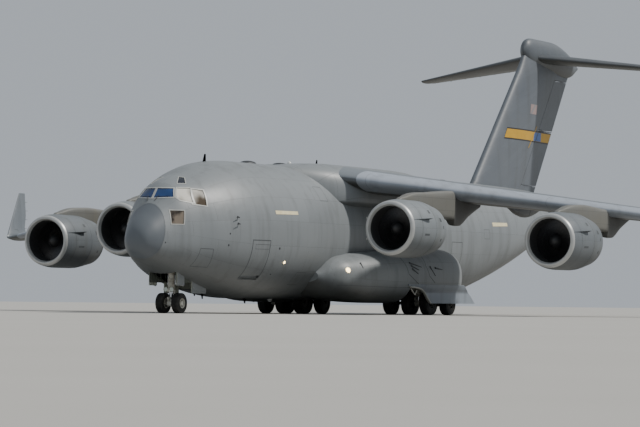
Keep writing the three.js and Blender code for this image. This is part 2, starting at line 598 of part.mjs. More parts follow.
// Fin and rudders. Columns: Z, front Y, back Y, thickness
const FIN_SECTIONS = [
  [7.4, 37.0, 46.3, 1.05],
  [14.95, 44.0, 51.6, 0.85],
  [15.9, 44.74, 49.0, 0.55],
];
const finAt = (z) => {
  const [[z0, f0, b0, t0], [z1, f1, b1, t1]] = FIN_SECTIONS;
  const k = (z - z0) / (z1 - z0);
  return { front: f0 + (f1 - f0) * k, back: b0 + (b1 - b0) * k, depth: t0 + (t1 - t0) * k };
};
const finSolid = loft(FIN_SECTIONS.map(([z, front, back, depth]) => foilRing(
  front, 0, back - front, depth, 0, (y, across) => [across, y, z])));
const RUDDER_FRACTION = 0.7;
const rudderHinge = (z) => [0, finAt(z).front + RUDDER_FRACTION * (finAt(z).back - finAt(z).front), z];
const rudderRadius = (z) => foilHalf(RUDDER_FRACTION) * finAt(z).depth;
// Columns: name, lower Z, upper Z
const RUDDERS = [
  ['rudder_lower', 7.84, 11.16],
  ['rudder_upper', 11.3, 14.4],
];
const rudderPrism = (z0, z1, gap) => sidePrism([
  [rudderHinge(z0)[1] - gap, z0], [FAR, z0], [FAR, z1], [rudderHinge(z1)[1] - gap, z1],
], -3, 3);
const RUDDER_GAP = 0.14;
// Space over a rudder's top for its front corners, which rise as it turns about the leaning line
const RUDDER_REACH = 0.09;
let fin = finSolid;
const rudders = RUDDERS.map(([name, z0, z1]) => {
  const cut = hinged(fin, rudderHinge(z0), rudderHinge(z1), rudderRadius(z0), rudderRadius(z1),
    rudderPrism(z0, z1, 0), rudderPrism(z0 - RUDDER_GAP, z1 + RUDDER_GAP, 0), RUDDER_REACH / (z1 - z0));
  fin = cut.fixed;
  const trimmed = cut.moving.intersect(slab(z0, z1));
  return [name, trimmed];
});

// Bullet fairing where the fin meets the stabilizer. Columns: Y, half width, top Z, bottom Z
const BULLET_SECTIONS = [
  [44.6, 0.12, 16.25, 15.75], [44.85, 0.32, 16.6, 15.4], [45.7, 0.46, 16.79, 15.1],
  [48.5, 0.6, 16.76, 14.85], [50.5, 0.5, 16.42, 14.75], [51.6, 0.34, 16.1, 14.8],
  [52.98, 0.05, 15.52, 15.36],
];
const BULLET_STEPS = 12;
const bullet = (grow) => loft(BULLET_SECTIONS.map(([y, halfWidth, top, bottom]) => {
  const ring = [];
  for (let i = 0; i < BULLET_STEPS; i += 1) {
    const angle = (2 * Math.PI * (i + 0.5)) / BULLET_STEPS;
    ring.push([
      (halfWidth + grow) * Math.sin(angle), y,
      (top + bottom) / 2 + ((top - bottom) / 2 + grow) * Math.cos(angle),
    ]);
  }
  return ring;
}));
const bulletGrown = bullet(SEAM);
place('fin', fin.subtract(hullGrown).subtract(bulletGrown), PAINT);
for (const [name, shape] of rudders) {
  place(name, shape, PAINT);
}

// Stabilizer and elevators. Columns: X, front Y, back Y, Z, thickness
const STABILIZER_SECTIONS = [
  [0, 45.57, 51.45, 15.66, 0.62],
  [9.9, 51.03, 53.04, 14.76, 0.2],
];
const stabilizerAt = (x) => {
  const [, f0, b0, h0, t0] = STABILIZER_SECTIONS[0];
  const [x1, f1, b1, h1, t1] = STABILIZER_SECTIONS[1];
  const k = x / x1;
  return { front: f0 + (f1 - f0) * k, back: b0 + (b1 - b0) * k, z: h0 + (h1 - h0) * k,
    depth: t0 + (t1 - t0) * k };
};
const stabilizerWhole = loft(STABILIZER_SECTIONS.map(([x, front, back, z, depth]) => foilRing(
  front, z, back - front, depth, 0, (y, height) => [x, y, height])));
const ELEVATOR_FRACTION = 0.68;
const ELEVATOR_X = [0.95, 9.55];
const elevatorHinge = (x) => [x,
  stabilizerAt(x).front + ELEVATOR_FRACTION * (stabilizerAt(x).back - stabilizerAt(x).front),
  stabilizerAt(x).z];
const elevatorRadius = (x) => foilHalf(ELEVATOR_FRACTION) * stabilizerAt(x).depth;
const elevatorCut = hinged(stabilizerWhole, elevatorHinge(ELEVATOR_X[0]), elevatorHinge(ELEVATOR_X[1]),
  elevatorRadius(ELEVATOR_X[0]), elevatorRadius(ELEVATOR_X[1]),
  ...squareEnds(elevatorHinge, ...ELEVATOR_X));
const stabilizer = elevatorCut.fixed.add(mirror(elevatorCut.fixed));
place('tail_bullet', bullet(0).subtract(stabilizerGrown()), PAINT);
place('stabilizer', stabilizer, PAINT);
for (const [side, sign] of SIDES) {
  place(`elevator_${side}`, onSide(elevatorCut.moving, sign), PAINT);
}

// The stabilizer's outline with the seam added, cut out of the bullet fairing.
function stabilizerGrown() {
  const grown = loft(STABILIZER_SECTIONS.map(([x, front, back, z, depth]) => foilRing(
    front, z, back - front, depth, 0, (y, height) => [x, y, height], SEAM)));
  return grown.add(mirror(grown));
}

// Engines. Columns: number, side sign, X, inlet Y, axis Z
const ENGINES = [
  [1, 1, 14.8, 14.27, 3.81],
  [2, 1, 7.86, 10.33, 4.35],
  [3, -1, 7.86, 10.33, 4.35],
  [4, -1, 14.8, 14.27, 3.81],
];
const NACELLE_SEGMENTS = 20;
const NACELLE_LENGTH = 4.1;
const NACELLE_OUTSIDE = [
  [0.0, 1.24], [0.05, 1.31], [0.3, 1.39], [1.0, 1.46], [2.6, 1.46], [NACELLE_LENGTH, 1.25],
];
const NACELLE_INSIDE = [[NACELLE_LENGTH, 1.22], [2.8, 1.24], [1.25, 1.1], [0.35, 1.08], [0.05, 1.16]];
const CORE = [
  [1.32, 0], [1.32, 0.45], [2.4, 0.78], [NACELLE_LENGTH, 0.8], [5.2, 0.47], [5.2, 0.36],
  [5.9, 0.05], [5.9, 0],
];
const FAN_Y = 1.02;
const FAN_RADIUS = 1.075;
const FAN_BLADES = 12;
const FAN_HUB = [[0.62, 0], [0.7, 0.18], [0.92, 0.35], [1.2, 0.35], [1.2, 0]];
const VANES = 4;
// Pylon stations. Columns: Y after the inlet, half width, bottom and top Z over the axis, and
// how far the top has come up to the middle of the wing's front edge
const PYLON_SECTIONS = [
  [0.9, 0.04, 1.2, 1.4, 0], [1.45, 0.2, 1.1, 1.6, 0], [2.2, 0.27, 1.0, 1.78, 0],
  [3.9, 0.3, 1.0, 1.9, 0], [5.2, 0.32, 0.68, 1.93, 0.4], [7.15, 0.32, 0.58, 1.95, 1],
  [7.3, 0.22, 0.34, 1.95, 1], [8.0, 0.2, 0.3, 1.95, 1], [9.2, 0.16, 0.8, 1.95, 1],
  [10.9, 0.04, 1.38, 1.95, 1],
];
const PYLON_FRONT_Z = 2;
const pylonSolid = (grow, front) => loft(PYLON_SECTIONS.map(([y, halfWidth, bottom, over, share]) => {
  const top = over + (front - over) * share;
  return [
    [-halfWidth - grow, y, top], [-halfWidth - grow, y, bottom + 0.1],
    [-halfWidth * 0.5, y, bottom - grow], [halfWidth * 0.5, y, bottom - grow],
    [halfWidth + grow, y, bottom + 0.1], [halfWidth + grow, y, top],
  ];
}));
const nacelleOuter = (grow) => turned([
  [-grow, 0], ...NACELLE_OUTSIDE.map(([y, r], i) => [
    y + (i === 0 ? -grow : i === NACELLE_OUTSIDE.length - 1 ? grow : 0), r + grow]),
  [NACELLE_LENGTH + grow, 0]], 0, 0, 0, NACELLE_SEGMENTS);
const nacelleShell = turned([...NACELLE_OUTSIDE, ...NACELLE_INSIDE, NACELLE_OUTSIDE[0]],
  0, 0, 0, NACELLE_SEGMENTS);
const bore = (grow) => turned([
  [NACELLE_LENGTH + 0.05, 0], [NACELLE_LENGTH + 0.05, 1.22 - grow],
  ...NACELLE_INSIDE.map(([y, r]) => [y, r - grow]), [-0.1, 1.16 - grow],
  [-0.1, 0]], 0, 0, 0, NACELLE_SEGMENTS);
const vanes = [];
for (let i = 0; i < VANES; i += 1) {
  const vane = box(-0.025, 0.025, 1.75, 2.35, 0.5, 1.35);
  vanes.push(vane.rotate([0, (360 * i) / VANES, 0]));
}
const spine = box(-0.2, 0.2, 2.3, NACELLE_LENGTH + 0.4, 0.5, 1.35);
const coreShape = join([
  turned(CORE, 0, 0, 0, 14), ...vanes,
  bar([0, 1.2 + SEAM, 0], [0, 1.5, 0], 0.14),
]);
const coreWithSpine = coreShape.add(spine);
const core = coreWithSpine.intersect(join([bore(SEAM), between(NACELLE_LENGTH + SEAM, 9)]))
  .subtract(pylonSolid(SEAM, PYLON_FRONT_Z));
const fanBlades = [];
for (let i = 0; i < FAN_BLADES; i += 1) {
  const blade = new THREE.BoxGeometry(0.2, 0.03, FAN_RADIUS - 0.28);
  blade.rotateZ(0.7);
  blade.translate(0, FAN_Y, (FAN_RADIUS + 0.28) / 2);
  blade.rotateY((2 * Math.PI * i) / FAN_BLADES);
  fanBlades.push(solid(blade));
}
const fanShape = join([turned(FAN_HUB, 0, 0, 0, 8), ...fanBlades]);
for (const [number, sign, x, y, z] of ENGINES) {
  const at = (shape) => onSide(shape.translate([x, y, z]), sign);
  const nozzle = coreShape.intersect(between(NACELLE_LENGTH + 0.05, 9));
  const pylon = pylonSolid(0, wingAt(x).z - z).subtract(nacelleOuter(SEAM)).subtract(nozzle)
    .translate([x, y, z]).subtract(wingSolid(SEAM));
  place(`engine_${number}_pylon`, onSide(pylon, sign), PAINT);
  place(`engine_${number}_nacelle`, at(nacelleShell), PAINT);
  place(`engine_${number}_core`, at(core), HOT_METAL);
  place(`engine_${number}_fan`, at(fanShape), BARE_METAL);
}

// Gear pods. Columns: Y, outer X, top Z, bottom Z
const POD_SECTIONS = [
  [11.9, 3.1, 2.3, 1.6], [12.5, 3.85, 2.75, 1.15], [14.2, 4.65, 3.1, 0.8], [17.0, 5.2, 3.3, 0.62],
  [20.0, 5.45, 3.45, 0.6], [23.6, 5.45, 3.55, 0.6], [25.2, 5.0, 3.45, 0.7], [26.8, 4.2, 3.2, 1.0],
  [28.6, 3.0, 2.9, 1.6],
];
const POD_INNER_X = 1.5;
const pod = loft(POD_SECTIONS.map(([y, outer, top, bottom]) => {
  const ring = [[POD_INNER_X, y, bottom], [POD_INNER_X, y, top]];
  const middle = (top + bottom) / 2;
  const reach = Math.min(1.7, outer - POD_INNER_X - 0.2);
  for (let i = 0; i <= 10; i += 1) {
    const angle = Math.PI / 2 - (Math.PI * i) / 10;
    const across = Math.abs(Math.cos(angle)) ** 0.8;
    const up = Math.sign(Math.sin(angle)) * Math.abs(Math.sin(angle)) ** 0.8;
    ring.push([outer - reach + reach * across, y, middle + (top - middle) * up]);
  }
  return ring;
}));
const WELL = { x0: 1.2, x1: 5.28, y0: 18.2, y1: 25.0, top: 1.46 };
const DOOR_LOWER_Z = 0.62;
const podDoorEdge = [
  [18.0, 1.6], [18.9, 1.36], [19.7, 1.05], [20.4, DOOR_LOWER_Z - 0.1], [26.4, DOOR_LOWER_Z - 0.1],
  [24.6, 1.6],
];
const well = box(WELL.x0, 6, WELL.y0, WELL.y1, -1, WELL.top);
const wellDoor = pod.intersect(sidePrism(podDoorEdge, WELL.x1 - 0.09, 6))
  .add(sidePrism(podDoorEdge, WELL.x1 - 0.08, WELL.x1).intersect(slab(DOOR_LOWER_Z, 1.7)));
const podShape = pod.subtract(well).add(wellDoor);
for (const [side, sign] of SIDES) {
  place(`gear_pod_${side}`, onSide(podShape, sign).subtract(hullGrown), PAINT);
}

// Wheels on one axle: columns of a tyre's profile are the place across it and the radius.
function wheelProfile(width, radius, rim) {
  return [
    [-0.3 * width, AXLE_RADIUS], [-0.5 * width, rim], [-0.48 * width, radius * 0.88],
    [-0.26 * width, radius], [0.26 * width, radius],
    [0.48 * width, radius * 0.88], [0.5 * width, rim], [0.3 * width, AXLE_RADIUS],
  ];
}

// An axle with its wheels along X, turned so that a flat of each tyre is underneath.
function wheelSet(centres, width, radius, rim, ends, y, z) {
  const profile = [[ends[0], 0], [ends[0], AXLE_RADIUS]];
  for (const centre of centres) {
    profile.push(...wheelProfile(width, radius, rim).map(([x, r]) => [centre + x, r]));
  }
  profile.push([ends[1], AXLE_RADIUS], [ends[1], 0]);
  const points = profile.map(([x, r]) => new THREE.Vector2(r, x));
  const geometry = new THREE.LatheGeometry(points, FACETS);
  geometry.rotateY(Math.PI / FACETS);
  geometry.rotateZ(-Math.PI / 2);
  return solid(geometry.translate(0, y, z));
}
const HOLE_FACETS = 24;
const AXLE_HOLE = (AXLE_RADIUS + SEAM) / Math.cos(Math.PI / HOLE_FACETS);
const LEG_X = (MAIN_WHEEL_X[1] + MAIN_WHEEL_X[2]) / 2;
const BEAM_INNER_X = (MAIN_WHEEL_X[0] + MAIN_WHEEL_X[1]) / 2;
const LEG_TOP = WELL.top - SEAM;
const mainLeg = join([
  box(BEAM_INNER_X - 0.15, LEG_X + 0.15, MAIN_ROWS[0][1] - 0.2, MAIN_ROWS[1][1] + 0.2, 1.34, LEG_TOP),
  ...MAIN_ROWS.flatMap(([, y]) => [
    bar([LEG_X, y, MAIN_AXLE_Z], [LEG_X, y, 1.4], 0.13),
    bar([LEG_X - 0.16, y, MAIN_AXLE_Z], [LEG_X + 0.16, y, MAIN_AXLE_Z], 0.19),
  ]),
  bar([LEG_X, MAIN_ROWS[0][1], 0.8], [LEG_X, 22.4, 1.38], 0.06),
  bar([LEG_X, MAIN_ROWS[1][1], 0.8], [LEG_X, 22.4, 1.38], 0.06),
]).subtract(join(MAIN_ROWS.map(([, y]) => bar(
  [LEG_X - 1, y, MAIN_AXLE_Z], [LEG_X + 1, y, MAIN_AXLE_Z], AXLE_HOLE, AXLE_HOLE, HOLE_FACETS))));
for (const [side, sign] of SIDES) {
  place(`main_gear_legs_${side}`, onSide(mainLeg, sign), LEG_WHITE);
  for (const [row, y] of MAIN_ROWS) {
    const wheels = wheelSet(MAIN_WHEEL_X, MAIN_TYRE_WIDTH, MAIN_TYRE_RADIUS, 0.3,
      [MAIN_WHEEL_X[0] - 0.3, MAIN_WHEEL_X[2] + 0.3], y, MAIN_AXLE_Z);
    place(`main_wheels_${row}_${side}`, onSide(wheels, sign), RUBBER);
  }
}

// Nose gear: a fixed leg in the bay, a steered fork below it, and the twin wheels.
const STEER_Z = 1.25;
const TOW_LUG_REACH = 0.3;
const bayRoof = NOSE_BAY[5] - SEAM;
place('nose_gear_leg', join([
  bar([0, NOSE_GEAR_Y, STEER_Z], [0, NOSE_GEAR_Y, bayRoof], 0.17),
  bar([0, NOSE_GEAR_Y, 1.5], [0, 4.1, bayRoof - 0.06], 0.08),
  bar([-0.5, NOSE_GEAR_Y, bayRoof - 0.12], [0.5, NOSE_GEAR_Y, bayRoof - 0.12], 0.12),
  box(-0.2, 0.2, 3.9, 4.3, bayRoof - 0.14, bayRoof),
]).intersect(slab(0, bayRoof)), LEG_WHITE);
place('nose_gear_fork', join([
  bar([0, NOSE_GEAR_Y, NOSE_AXLE_Z], [0, NOSE_GEAR_Y, STEER_Z - SEAM], 0.12),
  bar([0, NOSE_GEAR_Y, 1.08], [0, NOSE_GEAR_Y, STEER_Z - SEAM], 0.2),
  bar([-0.16, NOSE_GEAR_Y, NOSE_AXLE_Z], [0.16, NOSE_GEAR_Y, NOSE_AXLE_Z], 0.17),
  bar([-0.2, NOSE_GEAR_Y - 0.24, 1.14], [0.2, NOSE_GEAR_Y - 0.24, 1.14], 0.09),
  box(-0.05, 0.05, NOSE_GEAR_Y - 0.24, NOSE_GEAR_Y, 1.09, 1.19),
  box(-0.08, 0.08, NOSE_GEAR_Y - TOW_LUG_REACH, NOSE_GEAR_Y, 0.66, 0.78),
]).subtract(bar([-1, NOSE_GEAR_Y, NOSE_AXLE_Z], [1, NOSE_GEAR_Y, NOSE_AXLE_Z],
  AXLE_HOLE, AXLE_HOLE, HOLE_FACETS)), LEG_WHITE);
place('nose_wheels', wheelSet([-NOSE_WHEEL_X, NOSE_WHEEL_X], NOSE_TYRE_WIDTH, NOSE_TYRE_RADIUS,
  0.24, [-NOSE_WHEEL_X - 0.2, NOSE_WHEEL_X + 0.2], NOSE_GEAR_Y, NOSE_AXLE_Z), RUBBER);

export default plane;
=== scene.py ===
import bmesh
import bpy
import math
from mathutils import Matrix, Vector


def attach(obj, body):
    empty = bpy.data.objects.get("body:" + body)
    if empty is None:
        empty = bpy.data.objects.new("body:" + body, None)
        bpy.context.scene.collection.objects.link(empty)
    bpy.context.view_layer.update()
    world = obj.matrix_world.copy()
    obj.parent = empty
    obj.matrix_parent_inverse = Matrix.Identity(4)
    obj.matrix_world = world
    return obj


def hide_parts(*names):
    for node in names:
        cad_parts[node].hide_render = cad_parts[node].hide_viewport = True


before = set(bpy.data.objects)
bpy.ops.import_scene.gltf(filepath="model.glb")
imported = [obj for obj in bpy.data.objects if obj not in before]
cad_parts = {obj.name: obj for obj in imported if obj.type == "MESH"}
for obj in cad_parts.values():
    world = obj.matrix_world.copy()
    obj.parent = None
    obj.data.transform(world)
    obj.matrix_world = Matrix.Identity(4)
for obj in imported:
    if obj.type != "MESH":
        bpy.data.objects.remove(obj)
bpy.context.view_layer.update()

# Camera, floor and light. The camera stands low and far off to the left of the nose, as in the
# photograph, with a long lens. The floor is plain and pale. The light is a high sun on the port
# side, a little behind the wing, and a pale sky.


def srgb(code):
    """A colour written as sRGB hex, turned linear."""
    channels = [int(code[i:i + 2], 16) / 255 for i in (1, 3, 5)]
    return tuple(c / 12.92 if c <= 0.04045 else ((c + 0.055) / 1.055) ** 2.4 for c in channels) + (1.0,)


def node(tree, kind, inputs=None, **settings):
    """Adds one shader node, with its settings, its values and its links."""
    made = tree.nodes.new(kind)
    for name, value in settings.items():
        setattr(made, name, value)
    for name, value in (inputs or {}).items():
        if isinstance(value, bpy.types.NodeSocket):
            tree.links.new(value, made.inputs[name])
        else:
            made.inputs[name].default_value = value
    return made


def new_material(name):
    """A material with its tree emptied of all but the surface shader."""
    material = bpy.data.materials.new(name)
    material.use_nodes = True
    return material, material.node_tree, material.node_tree.nodes["Principled BSDF"]


def two_tones(name, dark, pale, scale, detail, roughness, metallic=0.0):
    """A finish whose colour drifts between two tones in cloudy patches."""
    material, tree, surface = new_material(name)
    place = node(tree, "ShaderNodeTexCoord")
    cloud = node(tree, "ShaderNodeTexNoise", {"Vector": place.outputs["Object"], "Scale": scale,
                                              "Detail": detail})
    tone = node(tree, "ShaderNodeMix", {"Factor": cloud.outputs["Fac"], "A": srgb(dark), "B": srgb(pale)},
                data_type="RGBA")
    tree.links.new(tone.outputs["Result"], surface.inputs["Base Color"])
    surface.inputs["Roughness"].default_value = roughness
    surface.inputs["Metallic"].default_value = metallic
    return material


# Fitted to the photograph, in metres, millimetres and degrees.
CAMERA = {"place": (39.1425, -79.5905, 0.2565), "heading": 27.357, "tilt": 91.619, "roll": 0.574,
          "lens": 180.66, "sensor_width": 36, "sees_as_far_as": 3000}
camera_data = bpy.data.cameras.new("camera")
camera_data.sensor_width = CAMERA["sensor_width"]
camera_data.lens = CAMERA["lens"]
camera_data.clip_end = CAMERA["sees_as_far_as"]
camera = bpy.data.objects.new("camera", camera_data)
camera.matrix_world = (
    Matrix.Translation(CAMERA["place"])
    @ Matrix.Rotation(math.radians(CAMERA["heading"]), 4, "Z")
    @ Matrix.Rotation(math.radians(CAMERA["tilt"]), 4, "X")
    @ Matrix.Rotation(math.radians(CAMERA["roll"]), 4, "Z")
)
bpy.context.scene.collection.objects.link(camera)
bpy.context.scene.camera = camera

FLOOR_HALF_WIDTH = 1500
floor_material = two_tones("floor_matt", "#a9a7a2", "#b1afaa", 0.3, 4.0, 0.9)
bm = bmesh.new()
bmesh.ops.create_grid(bm, x_segments=4, y_segments=4, size=FLOOR_HALF_WIDTH)
floor_mesh = bpy.data.meshes.new("floor")
bm.to_mesh(floor_mesh)
bm.free()
floor_mesh.materials.append(floor_material)
floor = bpy.data.objects.new("floor", floor_mesh)
bpy.context.scene.collection.objects.link(floor)

SKY = {"colour": "#c3cad2", "strength": 0.8}
SUN = {"strength": 3.6, "spread": 3, "colour": (1.0, 0.965, 0.91), "towards": (0.557, 0.322, 0.766)}
world = bpy.data.worlds.new("studio")
bpy.context.scene.world = world
world.use_nodes = True
world.node_tree.nodes["Background"].inputs["Color"].default_value = srgb(SKY["colour"])
world.node_tree.nodes["Background"].inputs["Strength"].default_value = SKY["strength"]
lamp_data = bpy.data.lights.new("key", "SUN")
lamp_data.energy = SUN["strength"]
lamp_data.angle = math.radians(SUN["spread"])
lamp_data.color = SUN["colour"]
lamp = bpy.data.objects.new("key", lamp_data)
lamp.rotation_euler = Vector(SUN["towards"]).to_track_quat("Z", "Y").to_euler()
bpy.context.scene.collection.objects.link(lamp)

# Fuselage skin: riveted aluminium panels over the frames, sprayed in matt grey. A smooth shell is
# drawn through the fuselage's sections and cut where the real panels, doors and windows meet.
# It lies a few millimetres proud of the structure underneath. All sizes from here on are those of
# the full-size plane, in metres, with Y running aft from near the nose, unless a comment says so.
SCALE = 0.5
MIDDLE_Y = 25.92
HALF_SIZE = Matrix.Diagonal((SCALE, SCALE, SCALE, 1)) @ Matrix.Translation((0, -MIDDLE_Y, 0))
HULL_SECTIONS = [
    # Y, half width, top, widest place, bottom
    (-1.2, 0.0, 3.45, 3.45, 3.45), (-1.1, 0.45, 3.93, 3.46, 3.05), (-0.75, 0.8, 4.42, 3.5, 2.75),
    (-0.2, 1.12, 4.94, 3.54, 2.5), (0.44, 1.45, 5.56, 3.6, 2.28), (0.95, 1.73, 6.12, 3.66, 2.11),
    (1.7, 2.1, 6.5, 3.74, 1.88), (2.6, 2.57, 6.79, 3.87, 1.62), (3.6, 2.92, 7.12, 3.98, 1.36),
    (5.0, 3.25, 7.46, 4.11, 1.08), (8.0, 3.43, 7.64, 4.21, 0.78), (30.2, 3.43, 7.64, 4.21, 0.78),
    (32.6, 3.43, 7.64, 4.35, 1.28), (36.0, 3.36, 7.63, 4.65, 2.13), (39.2, 3.1, 7.6, 5.0, 3.1),
    (42.0, 2.62, 7.56, 5.4, 4.0), (45.2, 1.86, 7.42, 5.95, 5.03), (47.4, 1.1, 7.1, 6.3, 5.72),
    (48.5, 0.46, 6.73, 6.35, 5.99), (48.8, 0.3, 6.58, 6.35, 6.12), (48.9, 0.0, 6.35, 6.35, 6.35),
]
NOSE_TIP_Y = HULL_SECTIONS[0][0]
SKIN = 0.012
HULL_SEGMENTS = 96
ROUND, SQUARER = 2, 2.35  # the power of the curve above and below the widest place


def through(rows):
    """A smooth line through a table's rows, read by their first column."""
    places = [row[0] for row in rows]
    steps = [b - a for a, b in zip(places, places[1:])]
    rises = [[(b[k] - a[k]) / (b[0] - a[0]) for k in range(1, len(a))] for a, b in zip(rows, rows[1:])]
    slopes = [rises[0]]
    for before, after, near, far in zip(rises, rises[1:], steps, steps[1:]):
        slopes.append([
            0 if p * q <= 0 else
            math.copysign(min(abs(p * far + q * near) / (near + far), 3 * abs(p), 3 * abs(q)), p)
            for p, q in zip(before, after)])
    slopes.append(rises[-1])

    def read(value):
        i = max(0, min(len(rows) - 2, sum(p <= value for p in places) - 1))
        step = steps[i]
        t = (value - places[i]) / step
        near, far = (1 + 2 * t) * (1 - t) ** 2, t * t * (3 - 2 * t)
        leave, reach = t * (1 - t) ** 2 * step, t * t * (t - 1) * step
        return [near * a + far * b + leave * m + reach * n
                for a, b, m, n in zip(rows[i][1:], rows[i + 1][1:], slopes[i], slopes[i + 1])]

    return read


def loft(stations, point, segments, closed=True):
    """Carries a ring from station to station. point() says where a turn of the ring lies."""
    bm = bmesh.new()
    turn = bm.verts.layers.float.new("turn")
    for i, vert in enumerate(bmesh.ops.create_circle(bm, segments=segments, radius=1)["verts"]):
        vert[turn] = 2 * math.pi * (i + 0.5) / segments
        vert.co = point(stations[0], vert[turn])
    edges = list(bm.edges)
    if closed:
        bmesh.ops.edgeloop_fill(bm, edges=edges)
    for station in stations[1:]:
        made = bmesh.ops.extrude_edge_only(bm, edges=edges)["geom"]
        edges = [e for e in made if isinstance(e, bmesh.types.BMEdge)]
        for vert in (v for v in made if isinstance(v, bmesh.types.BMVert)):
            vert.co = point(station, vert[turn])
    if closed:
        bmesh.ops.edgeloop_fill(bm, edges=edges)
    bmesh.ops.recalc_face_normals(bm, faces=bm.faces)
    return bm


def clip(bm, point, outward, cap=False):
    """Takes away what lies beyond a plane, and closes the cut if asked to."""
    everything = list(bm.verts) + list(bm.edges) + list(bm.faces)
    cut = bmesh.ops.bisect_plane(bm, geom=everything, dist=1e-5, plane_co=point, plane_no=outward,
                                 clear_outer=True)["geom_cut"]
    edges = [e for e in cut if isinstance(e, bmesh.types.BMEdge)]
    if cap and edges:
        faces = bmesh.ops.edgeloop_fill(bm, edges=edges)["faces"]
        bmesh.ops.recalc_face_normals(bm, faces=bm.faces)
        return faces
    return []


def cut_out(bm, planes):
    """Parts the faces inside a convex set of planes from a skin, and gives them back."""
    inside = list(bm.faces)
    for point, outward in planes:
        point, outward = Vector(point), Vector(outward)
        near = [f for f in inside if any((v.co - point).dot(outward) < -1e-6 for v in f.verts)]
        geometry = set(near)
        for face in near:
            geometry.update(face.verts)
            geometry.update(face.edges)
        made = bmesh.ops.bisect_plane(bm, geom=list(geometry), dist=1e-5, plane_co=point,
                                      plane_no=outward)["geom"]
        inside = [f for f in made if isinstance(f, bmesh.types.BMFace)
                  and (f.calc_center_median() - point).dot(outward) < 0]
    bm.faces.index_update()
    kept = {face.index for face in inside}
    part = bm.copy()
    bmesh.ops.delete(part, geom=[f for f in part.faces if f.index not in kept], context="FACES")
    bmesh.ops.delete(bm, geom=inside, context="FACES")
    return part


def prism(outline, axis, near=None, far=None, grow=0.0):
    """The planes of an outline, given as pairs in the two axes across the named one."""
    first, second = [k for k in range(3) if k != axis]
    middle = [sum(p[k] for p in outline) / len(outline) for k in range(2)]
    planes = []
    for (a, b), (c, d) in zip(outline, outline[1:] + outline[:1]):
        point, outward = Vector((0, 0, 0)), Vector((0, 0, 0))
        point[first], point[second] = a, b
        outward[first], outward[second] = d - b, a - c
        if outward[first] * (middle[0] - a) + outward[second] * (middle[1] - b) > 0:
            outward.negate()
        outward.normalize()
        planes.append((point + outward * grow, outward))
    for place, side in ((near, -1), (far, 1)):
        if place is not None:
            point, outward = Vector((0, 0, 0)), Vector((0, 0, 0))
            point[axis], outward[axis] = place, side
            planes.append((point, outward))
    return planes


def gather(parts):
    """Joins meshes into one, and frees them."""
    whole = bmesh.new()
    for part in parts:
        carried = bpy.data.meshes.new("carried")
        part.to_mesh(carried)
        part.free()
        whole.from_mesh(carried)
        bpy.data.meshes.remove(carried)
    return whole


def swell(bm, distance):
    """Moves a skin outwards along its own normals."""
    bm.normal_update()
    moves = [(vert, vert.normal * distance) for vert in bm.verts]
    for vert, move in moves:
        vert.co += move
    return bm


def thicken(bm, thickness):
    """Gives a skin a wall that reaches inwards."""
    bm.normal_update()
    bmesh.ops.solidify(bm, geom=list(bm.faces), thickness=thickness)
    return bm


def other_side(bm):
    """A mirrored copy for the aircraft's other side."""
    copy = bm.copy()
    copy.transform(Matrix.Diagonal((-1, 1, 1, 1)))
    bmesh.ops.reverse_faces(copy, faces=copy.faces)
    return copy


SIDES = (("port", 1), ("starboard", -1))


def sided(bm, sign):
    """A copy of a port piece, mirrored where the sign is that of the starboard side."""
    return bm.copy() if sign > 0 else other_side(bm)


def finish_piece(name, bm, materials, body, replaced=(), sharp=32):
    """Turns a mesh of full-size metres into a piece of the half-size plane, and lets it ride."""
    bm.transform(HALF_SIZE)
    mesh = bpy.data.meshes.new(name)
    bm.to_mesh(mesh)
    bm.free()
    for material in materials:
        mesh.materials.append(material)
    mesh.shade_smooth()
    mesh.set_sharp_from_angle(angle=math.radians(sharp))
    piece = bpy.data.objects.new(name, mesh)
    bpy.context.scene.collection.objects.link(piece)
    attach(piece, body)
    if replaced:
        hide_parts(*replaced)
    return piece


